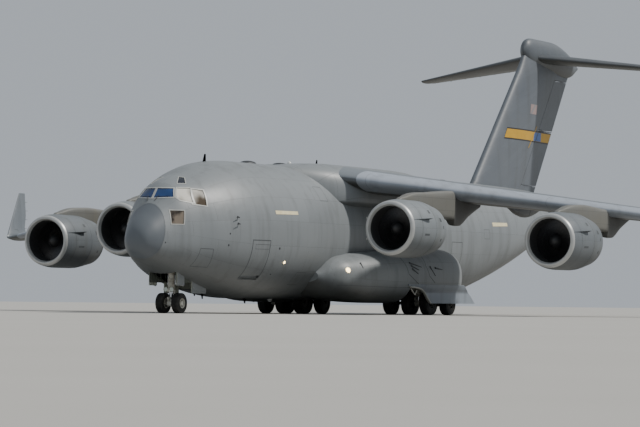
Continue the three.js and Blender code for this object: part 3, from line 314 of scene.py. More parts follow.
def matt_paint(name, colour, panels, size=(1.3, 0.62), underside_dirt_and_shade=0.6, seam=0.0035, stain="#4d4f4e"):
    """Sprayed matt polyurethane over riveted panels. panels() gives the panels' own coordinates."""
    material, tree, surface = new_material(name)
    place = node(tree, "ShaderNodeTexCoord")
    split = node(tree, "ShaderNodeSeparateXYZ", {"Vector": place.outputs["Object"]})
    layout = panels(tree, split.outputs)
    light, deep = [tuple(min(1, c * k) for c in srgb(colour)[:3]) + (1,) for k in (1.05, 0.95)]
    groove = tuple(c * 0.6 for c in srgb(colour)[:3]) + (1,)
    brick = node(tree, "ShaderNodeTexBrick", {
        "Vector": layout, "Color1": light, "Color2": deep, "Mortar": groove, "Scale": 1.0,
        "Mortar Size": seam, "Mortar Smooth": 0.3, "Brick Width": size[0], "Row Height": size[1]},
        offset=0.5)
    cloud = node(tree, "ShaderNodeTexNoise", {
        "Vector": place.outputs["Object"], "Scale": 0.6, "Detail": 7.0, "Roughness": 0.62})
    runs_at = node(tree, "ShaderNodeMapping", {"Vector": place.outputs["Object"], "Scale": (3.4, 3.4, 0.35)})
    runs = node(tree, "ShaderNodeTexNoise", {"Vector": runs_at.outputs["Vector"], "Scale": 1.0, "Detail": 5.0})
    runs_only = node(tree, "ShaderNodeMapRange", {
        "Value": runs.outputs["Fac"], "From Min": 0.5, "From Max": 0.8, "To Min": 0.0, "To Max": 0.42})
    worn = node(tree, "ShaderNodeMapRange", {
        "Value": cloud.outputs["Fac"], "From Min": 0.35, "From Max": 0.7, "To Min": 0.0, "To Max": 0.3})
    aged = node(tree, "ShaderNodeMix", {
        "Factor": worn.outputs["Result"], "A": brick.outputs["Color"], "B": srgb("#73787b")},
        data_type="RGBA")
    stained = node(tree, "ShaderNodeMix", {
        "Factor": runs_only.outputs["Result"], "A": aged.outputs["Result"], "B": srgb(stain)},
        data_type="RGBA")
    # Where a surface faces down, its colour darkens towards a dark grey: part dirt on the underside, part
    # painted shade under the plane.
    facing = node(tree, "ShaderNodeSeparateXYZ", {"Vector": place.outputs["Normal"]})
    under = node(tree, "ShaderNodeMapRange", {
        "Value": facing.outputs["Z"], "From Min": 0.0, "From Max": -0.9, "To Min": 0.0, "To Max": underside_dirt_and_shade},
        interpolation_type="SMOOTHSTEP")
    dirt_and_shade = node(tree, "ShaderNodeMix", {
        "Factor": under.outputs["Result"], "A": stained.outputs["Result"], "B": srgb("#363733")},
        data_type="RGBA")
    tree.links.new(dirt_and_shade.outputs["Result"], surface.inputs["Base Color"])
    rough = node(tree, "ShaderNodeMapRange", {
        "Value": cloud.outputs["Fac"], "From Min": 0.3, "From Max": 0.7, "To Min": 0.42, "To Max": 0.56})
    tree.links.new(rough.outputs["Result"], surface.inputs["Roughness"])
    sunk = node(tree, "ShaderNodeMath", {0: 1.0, 1: brick.outputs["Fac"]}, operation="SUBTRACT")
    bump = node(tree, "ShaderNodeBump", {"Height": sunk.outputs["Value"], "Strength": 0.5, "Distance": 0.002})
    tree.links.new(bump.outputs["Normal"], surface.inputs["Normal"])
    return material


def around(centre_x, centre_z, radius):
    """Panels wrapped round a barrel that lies along Y: its length, and the way round it."""
    def panels(tree, split):
        outboard = node(tree, "ShaderNodeMath", {0: split["X"]}, operation="ABSOLUTE")
        across = node(tree, "ShaderNodeMath", {0: outboard.outputs[0], 1: centre_x}, operation="SUBTRACT")
        up = node(tree, "ShaderNodeMath", {0: split["Z"], 1: centre_z}, operation="SUBTRACT")
        angle = node(tree, "ShaderNodeMath", {0: across.outputs[0], 1: up.outputs[0]}, operation="ARCTAN2")
        length = node(tree, "ShaderNodeMath", {0: angle.outputs[0], 1: radius}, operation="MULTIPLY")
        return node(tree, "ShaderNodeCombineXYZ", {"X": split["Y"], "Y": length.outputs[0]}).outputs["Vector"]
    return panels


BARREL = {"axis_z": 2.1, "radius": 1.715}  # on the half-size plane
# The fuselage's paint darkens where the skin faces down: part dirt, part painted shade.
hull_paint = matt_paint("fuselage_matt_paint", "#7c8184", around(0, BARREL["axis_z"], BARREL["radius"]),
                        underside_dirt_and_shade=0.48)
hull_at = through([(math.sqrt(row[0] - NOSE_TIP_Y), *row[1:]) for row in HULL_SECTIONS])


def hull_point(y, turn):
    """An ellipse above the widest place, and a squarer curve below it."""
    half_width, top, middle, bottom = hull_at(math.sqrt(max(0, y - NOSE_TIP_Y)))
    up, side = math.cos(turn), math.sin(turn)
    power = ROUND if up > 0 else SQUARER
    height = (top - middle if up > 0 else middle - bottom) + SKIN
    return ((half_width + SKIN) * math.copysign(abs(side) ** (2 / power), side), y,
            middle + height * math.copysign(abs(up) ** (2 / power), up))


# Stations: close together at the tip, where the nose and tail curve, and wide apart between.
tip_places = [NOSE_TIP_Y + (0.05 * i) ** 2 for i in range(14)]
nose_places = [-0.7 + 0.1 * i for i in range(88)]
tail_places = [30 + 0.35 * i for i in range(53)] + [48.5, 48.65, 48.75, 48.83, 48.88, 48.9]
places = sorted({round(p, 4) for p in tip_places + nose_places + [9.0 + i for i in range(21)] + tail_places})
shell = loft(places, hull_point, HULL_SEGMENTS)
hull_form = shell.copy()

RADOME_PLANE = (Vector((0, -0.15, 4.1)), Vector((0, 1, -0.25)).normalized())
RADOME_GAP, BARREL_GAP = 0.012, 0.006
DECK_BULKHEAD_Y = 6.9
RAMP_HINGE_Y = 30.4
radome = shell.copy()
clip(radome, *RADOME_PLANE)
nose = shell.copy()
clip(nose, RADOME_PLANE[0] + Vector((0, RADOME_GAP, 0)), -RADOME_PLANE[1])
clip(nose, (0, DECK_BULKHEAD_Y, 0), (0, 1, 0))
barrel = shell.copy()
clip(barrel, (0, DECK_BULKHEAD_Y + BARREL_GAP, 0), (0, -1, 0))
clip(barrel, (0, RAMP_HINGE_Y, 0), (0, 1, 0))
tail = shell
clip(tail, (0, RAMP_HINGE_Y, 0), (0, -1, 0))

NOSE_BAY = [(-0.72, 1.5), (0.72, 1.5), (0.72, 4.5), (-0.72, 4.5)]
NOSE_BAY_TOP = 2.75
cut_out(nose, prism(NOSE_BAY, 2, far=NOSE_BAY_TOP)).free()

# Crew door: part of the port side, built like the rest of it and hinged at its sill. Its ends are
# square to the hinge line, which runs outwards towards the tail.
CREW_HINGE = [Vector((2.319, 4.92, 1.825)), Vector((2.485, 6.36, 1.825))]
# The skin is open a little higher than the sill, and lower in the nose, where the door swings.
CREW_DOOR = {"sill": 1.8, "top": 3.6, "swing_low": 1.7, "swing_high": 1.9, "gap": 0.014, "skin": 0.01}
PORT_HALF = (Vector((1, 0, 0)), Vector((-1, 0, 0)))
crew_along = (CREW_HINGE[1] - CREW_HINGE[0]).normalized()


def between_heights(low, high):
    """The planes under and over a band of the skin."""
    return [(Vector((0, 0, low)), Vector((0, 0, -1))), (Vector((0, 0, high)), Vector((0, 0, 1)))]


def crew_opening(gap):
    """The planes of the crew door's opening, set out by a gap."""
    return [(CREW_HINGE[0] - crew_along * gap, -crew_along), (CREW_HINGE[1] + crew_along * gap, crew_along),
            *between_heights(CREW_DOOR["sill"] - gap, CREW_DOOR["top"] + gap), PORT_HALF]


crew_door = cut_out(nose, crew_opening(CREW_DOOR["gap"]))
door_panel = cut_out(crew_door, crew_opening(0))
cut_out(nose, [(CREW_HINGE[0], -crew_along), (CREW_HINGE[1], crew_along),
               *between_heights(CREW_DOOR["swing_low"], CREW_DOOR["swing_high"]), PORT_HALF]).free()
crew_door.free()
clip(door_panel, Vector((0, 0, CREW_DOOR["swing_high"])), Vector((0, 0, -1)))
finish_piece("crew_door_skin", thicken(door_panel, CREW_DOOR["skin"]), [hull_paint], "crew_door")

# Ramp and cargo door: the two pieces that close the underside of the tail. The ramp is hinged at
# the floor's back edge and the door at its own back edge, and both are built like the fuselage.
RAMP = {"half_width": 2.4, "top": 2.95, "end": 36.4, "slant": 0.6, "hinge_gap": 0.07, "floor": 1.63}
DOOR = {"half_width": 1.75, "top": 4.7, "end": 42.0, "gap": 0.036}
SIDE_GAP = 0.02
BELOW = -1  # a height under the whole tail


def ramp_end(z):
    """The slanted joint between the ramp and the cargo door."""
    return RAMP["end"] - RAMP["slant"] * (z - RAMP["top"])


ramp_side = [(RAMP_HINGE_Y + RAMP["hinge_gap"], BELOW), (ramp_end(BELOW), BELOW),
             (ramp_end(RAMP["top"]), RAMP["top"]), (RAMP_HINGE_Y + RAMP["hinge_gap"], RAMP["floor"])]
cut_out(tail, prism(ramp_side, 0, -RAMP["half_width"] - SIDE_GAP, RAMP["half_width"] + SIDE_GAP,
                    grow=0.01)).free()
ramp_skin = cut_out(hull_form.copy(), prism(ramp_side, 0, -RAMP["half_width"], RAMP["half_width"]))
door_side = [(ramp_end(BELOW) + DOOR["gap"], BELOW), (DOOR["end"], BELOW), (DOOR["end"], DOOR["top"]),
             (ramp_end(RAMP["top"]) + DOOR["gap"], RAMP["top"])]
cut_out(tail, prism(door_side, 0, -DOOR["half_width"] - SIDE_GAP, DOOR["half_width"] + SIDE_GAP,
                    grow=0.015)).free()
door_skin = cut_out(hull_form.copy(), prism(door_side, 0, -DOOR["half_width"], DOOR["half_width"]))
finish_piece("cargo_ramp_skin", ramp_skin, [hull_paint], "cargo_ramp")
finish_piece("cargo_door_skin", door_skin, [hull_paint], "cargo_door")
finish_piece("fuselage_barrel_skin", barrel, [hull_paint], "airframe")
finish_piece("tail_section_skin", tail, [hull_paint], "airframe")

# Radome: moulded glass fibre under the same grey, without panel lines, a little smoother and
# darker than the metal behind it.
radome_paint = two_tones("radome_paint", "#565c63", "#62686d", 1.4, 5.0, 0.44)
finish_piece("radome_skin", radome, [radome_paint], "airframe", ["radome"])

# Flight deck windows: heated laminated panes in light frames. Each opening is cut through the
# skin, its frame stands a little proud, and the pane lies inside it. Pale blinds hang behind the
# side panes.
WINDOWS = [
    # kind, outline, axis that it is seen along, nearest and furthest place on that axis
    ("front", [(0.05, 5.56), (0.95, 5.61), (0.76, 6.04), (0.05, 6.05)], 1, None, 1.9),
    ("side", [(1.06, 5.6), (1.25, 5.46), (1.64, 5.36), (1.27, 6.07), (0.87, 6.06)], 1, None, 1.9),
    ("rear", [(1.5, 5.3), (2.15, 5.22), (2.4, 5.98), (1.8, 6.04)], 0, 1.2, 3.0),
    ("chin", [(0.2, 4.3), (0.77, 4.3), (0.95, 4.95), (0.38, 4.95)], 0, 0.6, 3.0),
    ("eyebrow", [(0.72, 1.6), (0.98, 1.92), (0.67, 2.32), (0.45, 2.21)], 2, 5.9, 7.0),
]
FRAME_WIDTH = {"front": 0.04, "side": 0.045, "rear": 0.05, "chin": 0.035, "eyebrow": 0.04}
PANE_GLASS = {"front": 0, "side": 1, "rear": 1, "chin": 2, "eyebrow": 3}
FRAME = {"proud": 0.012, "depth": 0.05}
PANE = {"set_in": 0.02, "thickness": 0.02}
BLIND_SET_IN = 0.09
frames, panes, blinds = [], [], []


def painted(bm, index):
    """Gives all of a mesh one of the piece's materials."""
    for face in bm.faces:
        face.material_index = index
    return bm


for kind, outline, axis, near, far in WINDOWS:
    for side in (1, -1):
        seen = outline if axis == 0 else [(side * a, b) for a, b in outline]
        low, high = (near, far) if axis or side > 0 else (-far, -near)
        frame_ring = cut_out(nose, prism(seen, axis, low, high, grow=FRAME_WIDTH[kind]))
        pane = cut_out(frame_ring, prism(seen, axis, low, high))
        frames.append(thicken(swell(frame_ring, FRAME["proud"]), FRAME["depth"]))
        if kind in ("side", "rear"):
            blinds.append(swell(pane.copy(), -BLIND_SET_IN))
        panes.append(painted(thicken(swell(pane, -PANE["set_in"]), PANE["thickness"]), PANE_GLASS[kind]))

# Glass: its tints are painted. The darker tint is painted shade of the dim inside seen through it, and
# the paler one, in cloudy patches, is a painted reflection of the sky and of glare, so each kind has
# its own two tints.
GLASS = [
    # name, darker tint, paler tint of painted reflection, size of the cloudy patches, how much light passes
    ("windscreen_glass_painted_sky", "#142a4e", "#29508a", 0.9, 0.25),
    ("side_window_glass_painted_glare", "#5d5141", "#f4f0e6", 1.5, 0.3),
    ("chin_window_glass", "#3b332b", "#8d8173", 4.0, 0.3),
    ("eyebrow_window_glass", "#12141c", "#262a38", 3.0, 0.25),
]
glasses = []
for name, dark, pale, scale, clear in GLASS:
    glass, tree, surface = new_material(name)
    place = node(tree, "ShaderNodeTexCoord")
    cloud = node(tree, "ShaderNodeTexNoise", {"Vector": place.outputs["Object"], "Scale": scale, "Detail": 2.0})
    share = node(tree, "ShaderNodeMapRange",
                 {"Value": cloud.outputs["Fac"], "From Min": 0.38, "From Max": 0.58})
    tint = node(tree, "ShaderNodeMix", {"Factor": share.outputs["Result"], "A": srgb(dark), "B": srgb(pale)},
                data_type="RGBA")
    tree.links.new(tint.outputs["Result"], surface.inputs["Base Color"])
    surface.inputs["Roughness"].default_value = 0.05
    surface.inputs["Transmission Weight"].default_value = clear
    surface.inputs["IOR"].default_value = 1.5
    glasses.append(glass)
finish_piece("flight_deck_panes", gather(panes), glasses, "airframe", ["flight_deck_glass"])

# Frames: pale enamel, a little worn.
frame_paint = two_tones("window_frame_enamel", "#a3a5a2", "#b9bab5", 14.0, 5.0, 0.4)
finish_piece("window_frames", gather(frames), [frame_paint], "airframe")

# Blinds: pleated pale cloth.
blind_cloth, tree, surface = new_material("sun_blind_cloth")
place = node(tree, "ShaderNodeTexCoord")
pleats = node(tree, "ShaderNodeTexWave", {"Vector": place.outputs["Object"], "Scale": 9.0, "Distortion": 1.5},
              wave_type="BANDS", bands_direction="Z")
tone = node(tree, "ShaderNodeMix", {"Factor": pleats.outputs["Fac"], "A": srgb("#b8b3a4"),
                                    "B": srgb("#e3ded0")}, data_type="RGBA")
tree.links.new(tone.outputs["Result"], surface.inputs["Base Color"])
surface.inputs["Roughness"].default_value = 0.8
finish_piece("sun_blinds", gather(blinds), [blind_cloth], "airframe")
finish_piece("nose_section_skin", nose, [hull_paint], "airframe")

# Wing: a box of machined aluminium skins and spars, bolted to the fuselage's top. Its flaps and
# ailerons have the same grey, and its slats a paler, bluer one, which is a painted reflection of the
# sky on the front edge. The skin runs straight from the root to the winglet, and the moving pieces
# are parted from it behind their hinge lines.
AIRFOIL = [
    # place along the chord, half thickness over the full thickness
    (0, 0), (0.012, 0.16), (0.05, 0.3), (0.14, 0.44), (0.32, 0.5), (0.52, 0.42), (0.76, 0.2), (1, 0.012),
]
# X, front Y, Z, chord, thickness, fall of the middle surface from front to back
WING_ROOT = (2.3, 14.18, 7.15, 10.11, 1.29, 0.275)
WING_TIP = (25.15, 26.77, 4.27, 3.24, 0.36, 0.0)
WINGLET_SECTIONS = [
    # way along, X, front Y, Z, chord, thickness, lean of the section outwards
    (0.0, 25.15, 26.77, 4.27, 3.24, 0.36, 0.0), (0.36, 25.46, 26.98, 4.3, 2.8, 0.27, 0.4),
    (0.62, 25.54, 27.2, 4.52, 2.1, 0.22, 1.0), (1.8, 25.69, 27.95, 5.64, 1.43, 0.14, 1.0),
    (3.2, 25.87, 28.85, 6.97, 0.66, 0.07, 1.0),
]
FLAP_FRACTION, AILERON_FRACTION = 0.74, 0.76
FLAPS = [("flap_inboard", 4.55, 10.1), ("flap_outboard", 10.18, 17.6)]
AILERONS = [("aileron", 17.95, 23.9)]
half_foil = through([(math.sqrt(f), t) for f, t in AIRFOIL])


def foil(turn):
    """The place along the chord and the half thickness, as a ring turns round a wing section."""
    share = (1 + math.cos(turn)) / 2
    return share, math.copysign(half_foil(math.sqrt(share))[0], math.sin(turn))


def wing_at(x):
    """Front Y, Z, chord, thickness and fall of the wing's section at a place along the span."""
    k = (x - WING_ROOT[0]) / (WING_TIP[0] - WING_ROOT[0])
    return [a + (b - a) * k for a, b in zip(WING_ROOT[1:], WING_TIP[1:])]


def wing_point(x, turn):
    """A place on the wing's skin."""
    front, z, chord, depth, fall = wing_at(x)
    share, thick = foil(turn)
    return (x, front + share * chord, z - share * fall + thick * depth)


winglet_at = through(WINGLET_SECTIONS)


def winglet_point(way, turn):
    """A place on the winglet's skin, which turns up from the wing's tip."""
    x, front, z, chord, depth, lean = winglet_at(way)
    share, thick = foil(turn)
    return (x - thick * depth * lean, front + share * chord, z + thick * depth * (1 - 0.75 * lean))


def spar_line(x, fraction):
    """A place on the wing's middle surface."""
    front, z, chord, depth, fall = wing_at(x)
    return Vector((x, front + fraction * chord, z - fraction * fall))


def cone(start, end, start_radius, end_radius, segments=24):
    """A round bar or cone between two places."""
    bm = bmesh.new()
    along = end - start
    turn = Matrix.Translation((start + end) / 2) @ along.to_track_quat("Z", "Y").to_matrix().to_4x4()
    bmesh.ops.create_cone(bm, cap_ends=True, segments=segments, radius1=start_radius, radius2=end_radius,
                          depth=along.length, matrix=turn)
    return bm


LIP_REACH, LIP_THICKNESS = 0.03, 0.012
NOSE_BAR_SET_IN = 0.022


def part_hinged(whole, line, radius, rows, side_gap, front_gap, level=None):
    """Parts the pieces behind a hinge line from what carries them. line() and radius() say where
    the hinge is and how thick the section is there. A piece with a radius has a round nose, which
    turns under two thin lips."""
    first, last = rows[0][1], rows[-1][2]
    along = (line(last) - line(first)).normalized()
    aft = (Vector((0, 1, 0)) - along * along.y).normalized()
    square = level or along
    up = along.cross(aft)
    reach = [line(s) - aft * (radius(s) + front_gap) for s in (first, last)]
    spar = (reach[1] - reach[0]).cross(up).normalized()
    spar *= math.copysign(1, spar.dot(aft))

    def between(s0, s1, gap, cap=True):
        """The stretch of the whole between two places along the hinge line."""
        piece = whole.copy()
        if s0 is not None:
            clip(piece, line(s0) - square * gap, -square, cap)
        if s1 is not None:
            clip(piece, line(s1) + square * gap, square, cap)
        return piece

    fore = between(first, last, side_gap)
    clip(fore, reach[0], spar, True)
    fixed = [fore, between(None, first, -side_gap), between(last, None, -side_gap)]
    if radius(first):
        lips = between(first, last, side_gap, cap=False)
        clip(lips, reach[0], -spar)
        clip(lips, line(first) - aft * LIP_REACH, aft)
        fixed.append(thicken(lips, LIP_THICKNESS))
    for before, after in zip(rows, rows[1:]):
        if after[1] - before[2] > 3 * side_gap:
            rib = between(before[2], after[1], -side_gap)
            clip(rib, reach[0], -spar, True)
            fixed.append(rib)
    moving = {}
    for name, s0, s1 in rows:
        piece = between(s0, s1, 0)
        clip(piece, line(s0), -aft, True)
        if radius(first):
            inset = 0.006 * (s1 - s0)
            nose_bar = cone(line(s0 + inset), line(s1 - inset), radius(s0) - NOSE_BAR_SET_IN,
                            radius(s1) - NOSE_BAR_SET_IN)
            piece = gather([piece, nose_bar])
        moving[name] = piece
    whole.free()
    return fixed, moving


def swept(axis, root, tip, rows, row_height):
    """Panels that follow a wing's spars. root and tip: place along it, front Y and chord."""
    def panels(tree, split):
        span = node(tree, "ShaderNodeMath", {0: split[axis]}, operation="ABSOLUTE")
        lines = []
        for k in (1, 2):
            rise = (tip[k] - root[k]) / (tip[0] - root[0])
            start = root[k] - rise * root[0] - (MIDDLE_Y if k == 1 else 0)
            lines.append(node(tree, "ShaderNodeMath", {0: span.outputs[0], 1: rise, 2: start * SCALE},
                              operation="MULTIPLY_ADD"))
        behind = node(tree, "ShaderNodeMath", {0: split["Y"], 1: lines[0].outputs[0]}, operation="SUBTRACT")
        share = node(tree, "ShaderNodeMath", {0: behind.outputs[0], 1: lines[1].outputs[0]},
                     operation="DIVIDE")
        across = node(tree, "ShaderNodeMath", {0: share.outputs[0], 1: rows * row_height},
                      operation="MULTIPLY")
        return node(tree, "ShaderNodeCombineXYZ",
                    {"X": span.outputs[0], "Y": across.outputs[0]}).outputs["Vector"]
    return panels


def wing_panels(rows, row_height):
    """Rows of panels between the wing's front and back edges."""
    return swept("X", (WING_ROOT[0], WING_ROOT[1], WING_ROOT[3]), (WING_TIP[0], WING_TIP[1], WING_TIP[3]),
                 rows, row_height)


# Wing paints: the flaps' panels are smaller than the wing's. All are darkened strongly where they face
# down, part dirt and part painted shade under the wing. The slats are paler, a painted reflection of
# the sky, and less darkened underneath.
wing_paint = matt_paint("wing_matt_paint", "#6d747b", wing_panels(7, 0.5), size=(1.7, 0.5), underside_dirt_and_shade=0.92)
flap_paint = matt_paint("flap_matt_paint", "#676e73", wing_panels(14, 0.4), size=(0.9, 0.4), underside_dirt_and_shade=0.92)
slat_sky_reflection_paint = matt_paint("slat_paint_painted_sky_reflection", "#9ba3ae", wing_panels(20, 0.5), size=(4.1, 1.0), underside_dirt_and_shade=0.3,
                        seam=0.006)

stations = [WING_ROOT[0] - 1.0 + (WING_TIP[0] - WING_ROOT[0] + 1.0) * i / 30 for i in range(31)]
whole_wing = loft(stations, wing_point, 56)
flap_under = half_foil(math.sqrt(FLAP_FRACTION))[0]


def flap_line(x):
    """The flaps' hinge line, on the wing's underside."""
    return spar_line(x, FLAP_FRACTION) - Vector((0, 0, flap_under * wing_at(x)[3]))


def aileron_radius(x):
    """Half the wing's thickness at the ailerons' hinge line."""
    return half_foil(math.sqrt(AILERON_FRACTION))[0] * wing_at(x)[3]


inner_fixed, flaps = part_hinged(whole_wing, flap_line, lambda x: 0.0, FLAPS, side_gap=0.025,
                                 front_gap=0.05)
outboard_of_flaps = inner_fixed.pop(2)
outer_fixed, ailerons = part_hinged(outboard_of_flaps, lambda x: spar_line(x, AILERON_FRACTION),
                                    aileron_radius, AILERONS, side_gap=0.03, front_gap=0.012)
winglet = loft([0.09 * i for i in range(9)] + [1.0, 1.4, 1.8, 2.2, 2.6, 3.0, 3.2], winglet_point, 56)

# Flap hinge fairings: canoe-shaped glass-fibre covers over the flap hinges. The front part is
# bolted to the wing and the back part to the flap.
FLAP_FAIRING_X = [5.6, 9.3, 11.3, 16.3]
FAIRING_GAP = 0.06
FAIRING_SECTIONS = [
    # place along the chord, half width, drop below the wing
    (0.42, 0.0, 0.0), (0.47, 0.09, 0.1), (0.54, 0.18, 0.32), (0.62, 0.235, 0.52), (0.74, 0.26, 0.66),
    (0.88, 0.23, 0.54), (0.99, 0.14, 0.3), (1.06, 0.03, 0.12),
]
fairing_at = through(FAIRING_SECTIONS)


def canoe(x):
    """A whole fairing under the wing at one place along the span."""
    def point(share, turn):
        half_width, drop = fairing_at(share)
        reach = min(share, 0.985)
        front, z, chord, depth, fall = wing_at(x)
        under = z - reach * fall - half_foil(math.sqrt(reach))[0] * depth
        up, side = math.cos(turn), math.sin(turn)
        height = (0.1 if share < 0.9 else 0.1 * max(0, 1.06 - share) / 0.16) if up > 0 else drop
        return (x + half_width * math.copysign(abs(side) ** 0.8, side), front + share * chord,
                under + height * math.copysign(abs(up) ** 0.85, up))
    return loft([0.42 + 0.02 * i for i in range(33)], point, 24)


flap_along = (flap_line(FLAPS[-1][2]) - flap_line(FLAPS[0][1])).normalized()
flap_aft = (Vector((0, 1, 0)) - flap_along * flap_along.y).normalized()
for x in FLAP_FAIRING_X:
    front_part, back_part = canoe(x), canoe(x)
    clip(front_part, flap_line(x) - flap_aft * FAIRING_GAP, flap_aft, True)
    clip(back_part, flap_line(x), -flap_aft, True)
    outer_fixed.append(front_part)
    name = "flap_inboard" if x < FLAPS[0][2] else "flap_outboard"
    flaps[name] = gather([flaps[name], back_part])

wing_skin = gather(inner_fixed + outer_fixed + [winglet])
# The front of the wing takes the paler slat paint, a painted sky reflection.
SLATS = {"share": 0.12, "x0": 3.6, "x1": 24.4}
for face in wing_skin.faces:
    middle = face.calc_center_median()
    front, _, chord = wing_at(middle.x)[:3]
    if SLATS["x0"] < middle.x < SLATS["x1"] and (middle.y - front) / chord < SLATS["share"]:
        face.material_index = 1
for side, sign in SIDES:
    finish_piece(f"wing_skin_{side}", sided(wing_skin, sign),
                 [wing_paint, slat_sky_reflection_paint], "airframe", [f"wing_{side}"], sharp=38)
    for name, piece in {**flaps, **ailerons}.items():
        paint = wing_paint if name == "aileron" else flap_paint
        finish_piece(f"{name}_skin_{side}", sided(piece, sign), [paint],
                     f"{name}_{side}", [f"{name}_{side}"], sharp=38)

# Wing fairing: the smooth cover over the joint of the wing and the fuselage's top, of light panels
# in the hull's paint, screwed to both.
FAIRING_TOP = [
    # Y, half width, top Z
    (11.6, 0.6, 7.45), (12.2, 1.2, 7.6), (13.6, 2.6, 7.76), (16.2, 3.55, 7.86), (22.5, 3.55, 7.84),
    (26.3, 2.5, 7.72), (28.5, 1.1, 7.6), (29.2, 0.5, 7.45),
]
FAIRING_FOOT_Z = 5.9
cover_at = through(FAIRING_TOP)


def cover_point(y, turn):
    """A place on the fairing: a flat-topped arch with its foot inside the crown."""
    half_width, top = cover_at(y)
    up, side = math.cos(turn), math.sin(turn)
    height = (top + 0.01 - FAIRING_FOOT_Z) * max(0, up) ** 0.6 - 0.5 * max(0, -up)
    return (half_width * math.copysign(abs(side) ** 0.6, side), y, FAIRING_FOOT_Z + height)


cover = loft([11.6 + 0.4 * i for i in range(45)], cover_point, 64)
finish_piece("wing_fairing_skin", cover, [hull_paint], "airframe", ["wing_fairing"], sharp=45)

# Fin and rudders: a swept fin of the same build, with a rudder in two lengths behind a hinge line
# that leans back. Both rudders have round noses under the fin's lips.
FIN_SECTIONS = [
    # Z, front Y, back Y, thickness
    (7.0, 36.63, 46.02, 1.06), (14.95, 44.0, 51.6, 0.85), (15.9, 44.74, 49.0, 0.55),
]
RUDDER_FRACTION = 0.7
RUDDERS = [("rudder_lower", 7.84, 11.16), ("rudder_upper", 11.3, 14.4)]


def fin_at(z):
    """Front Y, chord and thickness of the fin's section at a height."""
    rows = FIN_SECTIONS[:2] if z <= 14.95 else FIN_SECTIONS[1:]
    k = (z - rows[0][0]) / (rows[1][0] - rows[0][0])
    front, back, depth = [a + (b - a) * k for a, b in zip(rows[0][1:], rows[1][1:])]
    return front, back - front, depth


def fin_point(z, turn):
    """A place on the fin's skin."""
    front, chord, depth = fin_at(z)
    share, thick = foil(turn)
    return (thick * depth, front + share * chord, z)


def rudder_line(z):
    """A place on the rudders' hinge line."""
    front, chord, depth = fin_at(z)
    return Vector((0, front + RUDDER_FRACTION * chord, z))


def rudder_radius(z):
    """Half the fin's thickness at the rudders' hinge line."""
    return half_foil(math.sqrt(RUDDER_FRACTION))[0] * fin_at(z)[2]


fin_whole = loft([7.0 + 0.53 * i for i in range(15)] + [14.95, 15.4, 15.9], fin_point, 56)
fin_form = fin_whole.copy()
fin_fixed, rudders = part_hinged(fin_whole, rudder_line, rudder_radius, RUDDERS, side_gap=0.07,
                                 front_gap=0.02, level=Vector((0, 0, 1)))
# height on the half-size plane, front Y and chord of the lowest and highest row of panels
FIN_PANELS = [(3.7, 36.98, 9.27), (7.475, 44.0, 7.6)]
fin_paint = matt_paint("fin_matt_paint", "#5d636b", swept("Z", *FIN_PANELS, 8, 0.5), size=(1.1, 0.5),
                       underside_dirt_and_shade=0.5)
finish_piece("fin_skin", gather(fin_fixed), [fin_paint], "airframe", ["fin"], sharp=38)
for name, piece in rudders.items():
    finish_piece(f"{name}_skin", piece, [fin_paint], name, [name], sharp=38)

# Stabilizer and elevators: the tailplane on top of the fin, built like the wing. Its paint is much
# darker and darkens more underneath, as painted shade on a tail seen from below. Each half carries
# one elevator, whose round nose turns under the tailplane's lips.
# X, front Y, Z, chord, thickness
STABILIZER_ROOT = (0, 45.57, 15.66, 5.88, 0.62)
STABILIZER_TIP = (9.9, 51.03, 14.76, 2.01, 0.2)
ELEVATOR_FRACTION = 0.68
ELEVATORS = [("elevator", 0.95, 9.55)]


def stabilizer_at(x):
    """Front Y, Z, chord and thickness of the tailplane's section at a place along the span."""
    k = x / STABILIZER_TIP[0]
    return [a + (b - a) * k for a, b in zip(STABILIZER_ROOT[1:], STABILIZER_TIP[1:])]


def stabilizer_point(x, turn):
    """A place on the tailplane's skin."""
    front, z, chord, depth = stabilizer_at(x)
    share, thick = foil(turn)
    return (x, front + share * chord, z + thick * depth)


def elevator_line(x):
    """The elevators' hinge line."""
    front, z, chord, depth = stabilizer_at(x)
    return Vector((x, front + ELEVATOR_FRACTION * chord, z))


def elevator_radius(x):
    """Half the tailplane's thickness at the elevators' hinge line."""
    return half_foil(math.sqrt(ELEVATOR_FRACTION))[0] * stabilizer_at(x)[3]


half_stabilizer = loft([0.55 * i for i in range(18)] + [9.86, 9.9], stabilizer_point, 48)
tail_fixed, elevators = part_hinged(half_stabilizer, elevator_line, elevator_radius, ELEVATORS,
                                    side_gap=0.03, front_gap=0.012)
tailplane_shade_paint = matt_paint("tailplane_paint_painted_shade", "#3c4147", swept(
    "X", (0, STABILIZER_ROOT[1], STABILIZER_ROOT[3] * 0.5), (4.95, STABILIZER_TIP[1], STABILIZER_TIP[3] * 0.5),
    6, 0.4), size=(1.2, 0.4), underside_dirt_and_shade=0.85)
port_half = gather(tail_fixed)
finish_piece("stabilizer_skin", gather([other_side(port_half), port_half]), [tailplane_shade_paint], "airframe",
             ["stabilizer"], sharp=38)
for side, sign in SIDES:
    piece = elevators["elevator"]
    finish_piece(f"elevator_skin_{side}", sided(piece, sign), [tailplane_shade_paint],
                 f"elevator_{side}", [f"elevator_{side}"], sharp=38)

# Bullet fairing: the pointed glass-fibre cover where the fin meets the tailplane, in a darker paint
# than the fin's, which darkens more where it faces down: part dirt, part painted shade.
BULLET_SECTIONS = [
    # Y, half width, top Z, bottom Z
    (44.5, 0.0, 16.0, 16.0), (44.6, 0.14, 16.27, 15.73), (44.85, 0.32, 16.6, 15.4), (45.7, 0.47, 16.79, 15.08),
    (48.5, 0.61, 16.77, 14.83), (50.5, 0.51, 16.43, 14.73), (51.6, 0.35, 16.11, 14.79),
    (52.98, 0.05, 15.52, 15.36),
]
bullet_at = through([(math.sqrt(row[0] - 44.5), *row[1:]) for row in BULLET_SECTIONS])


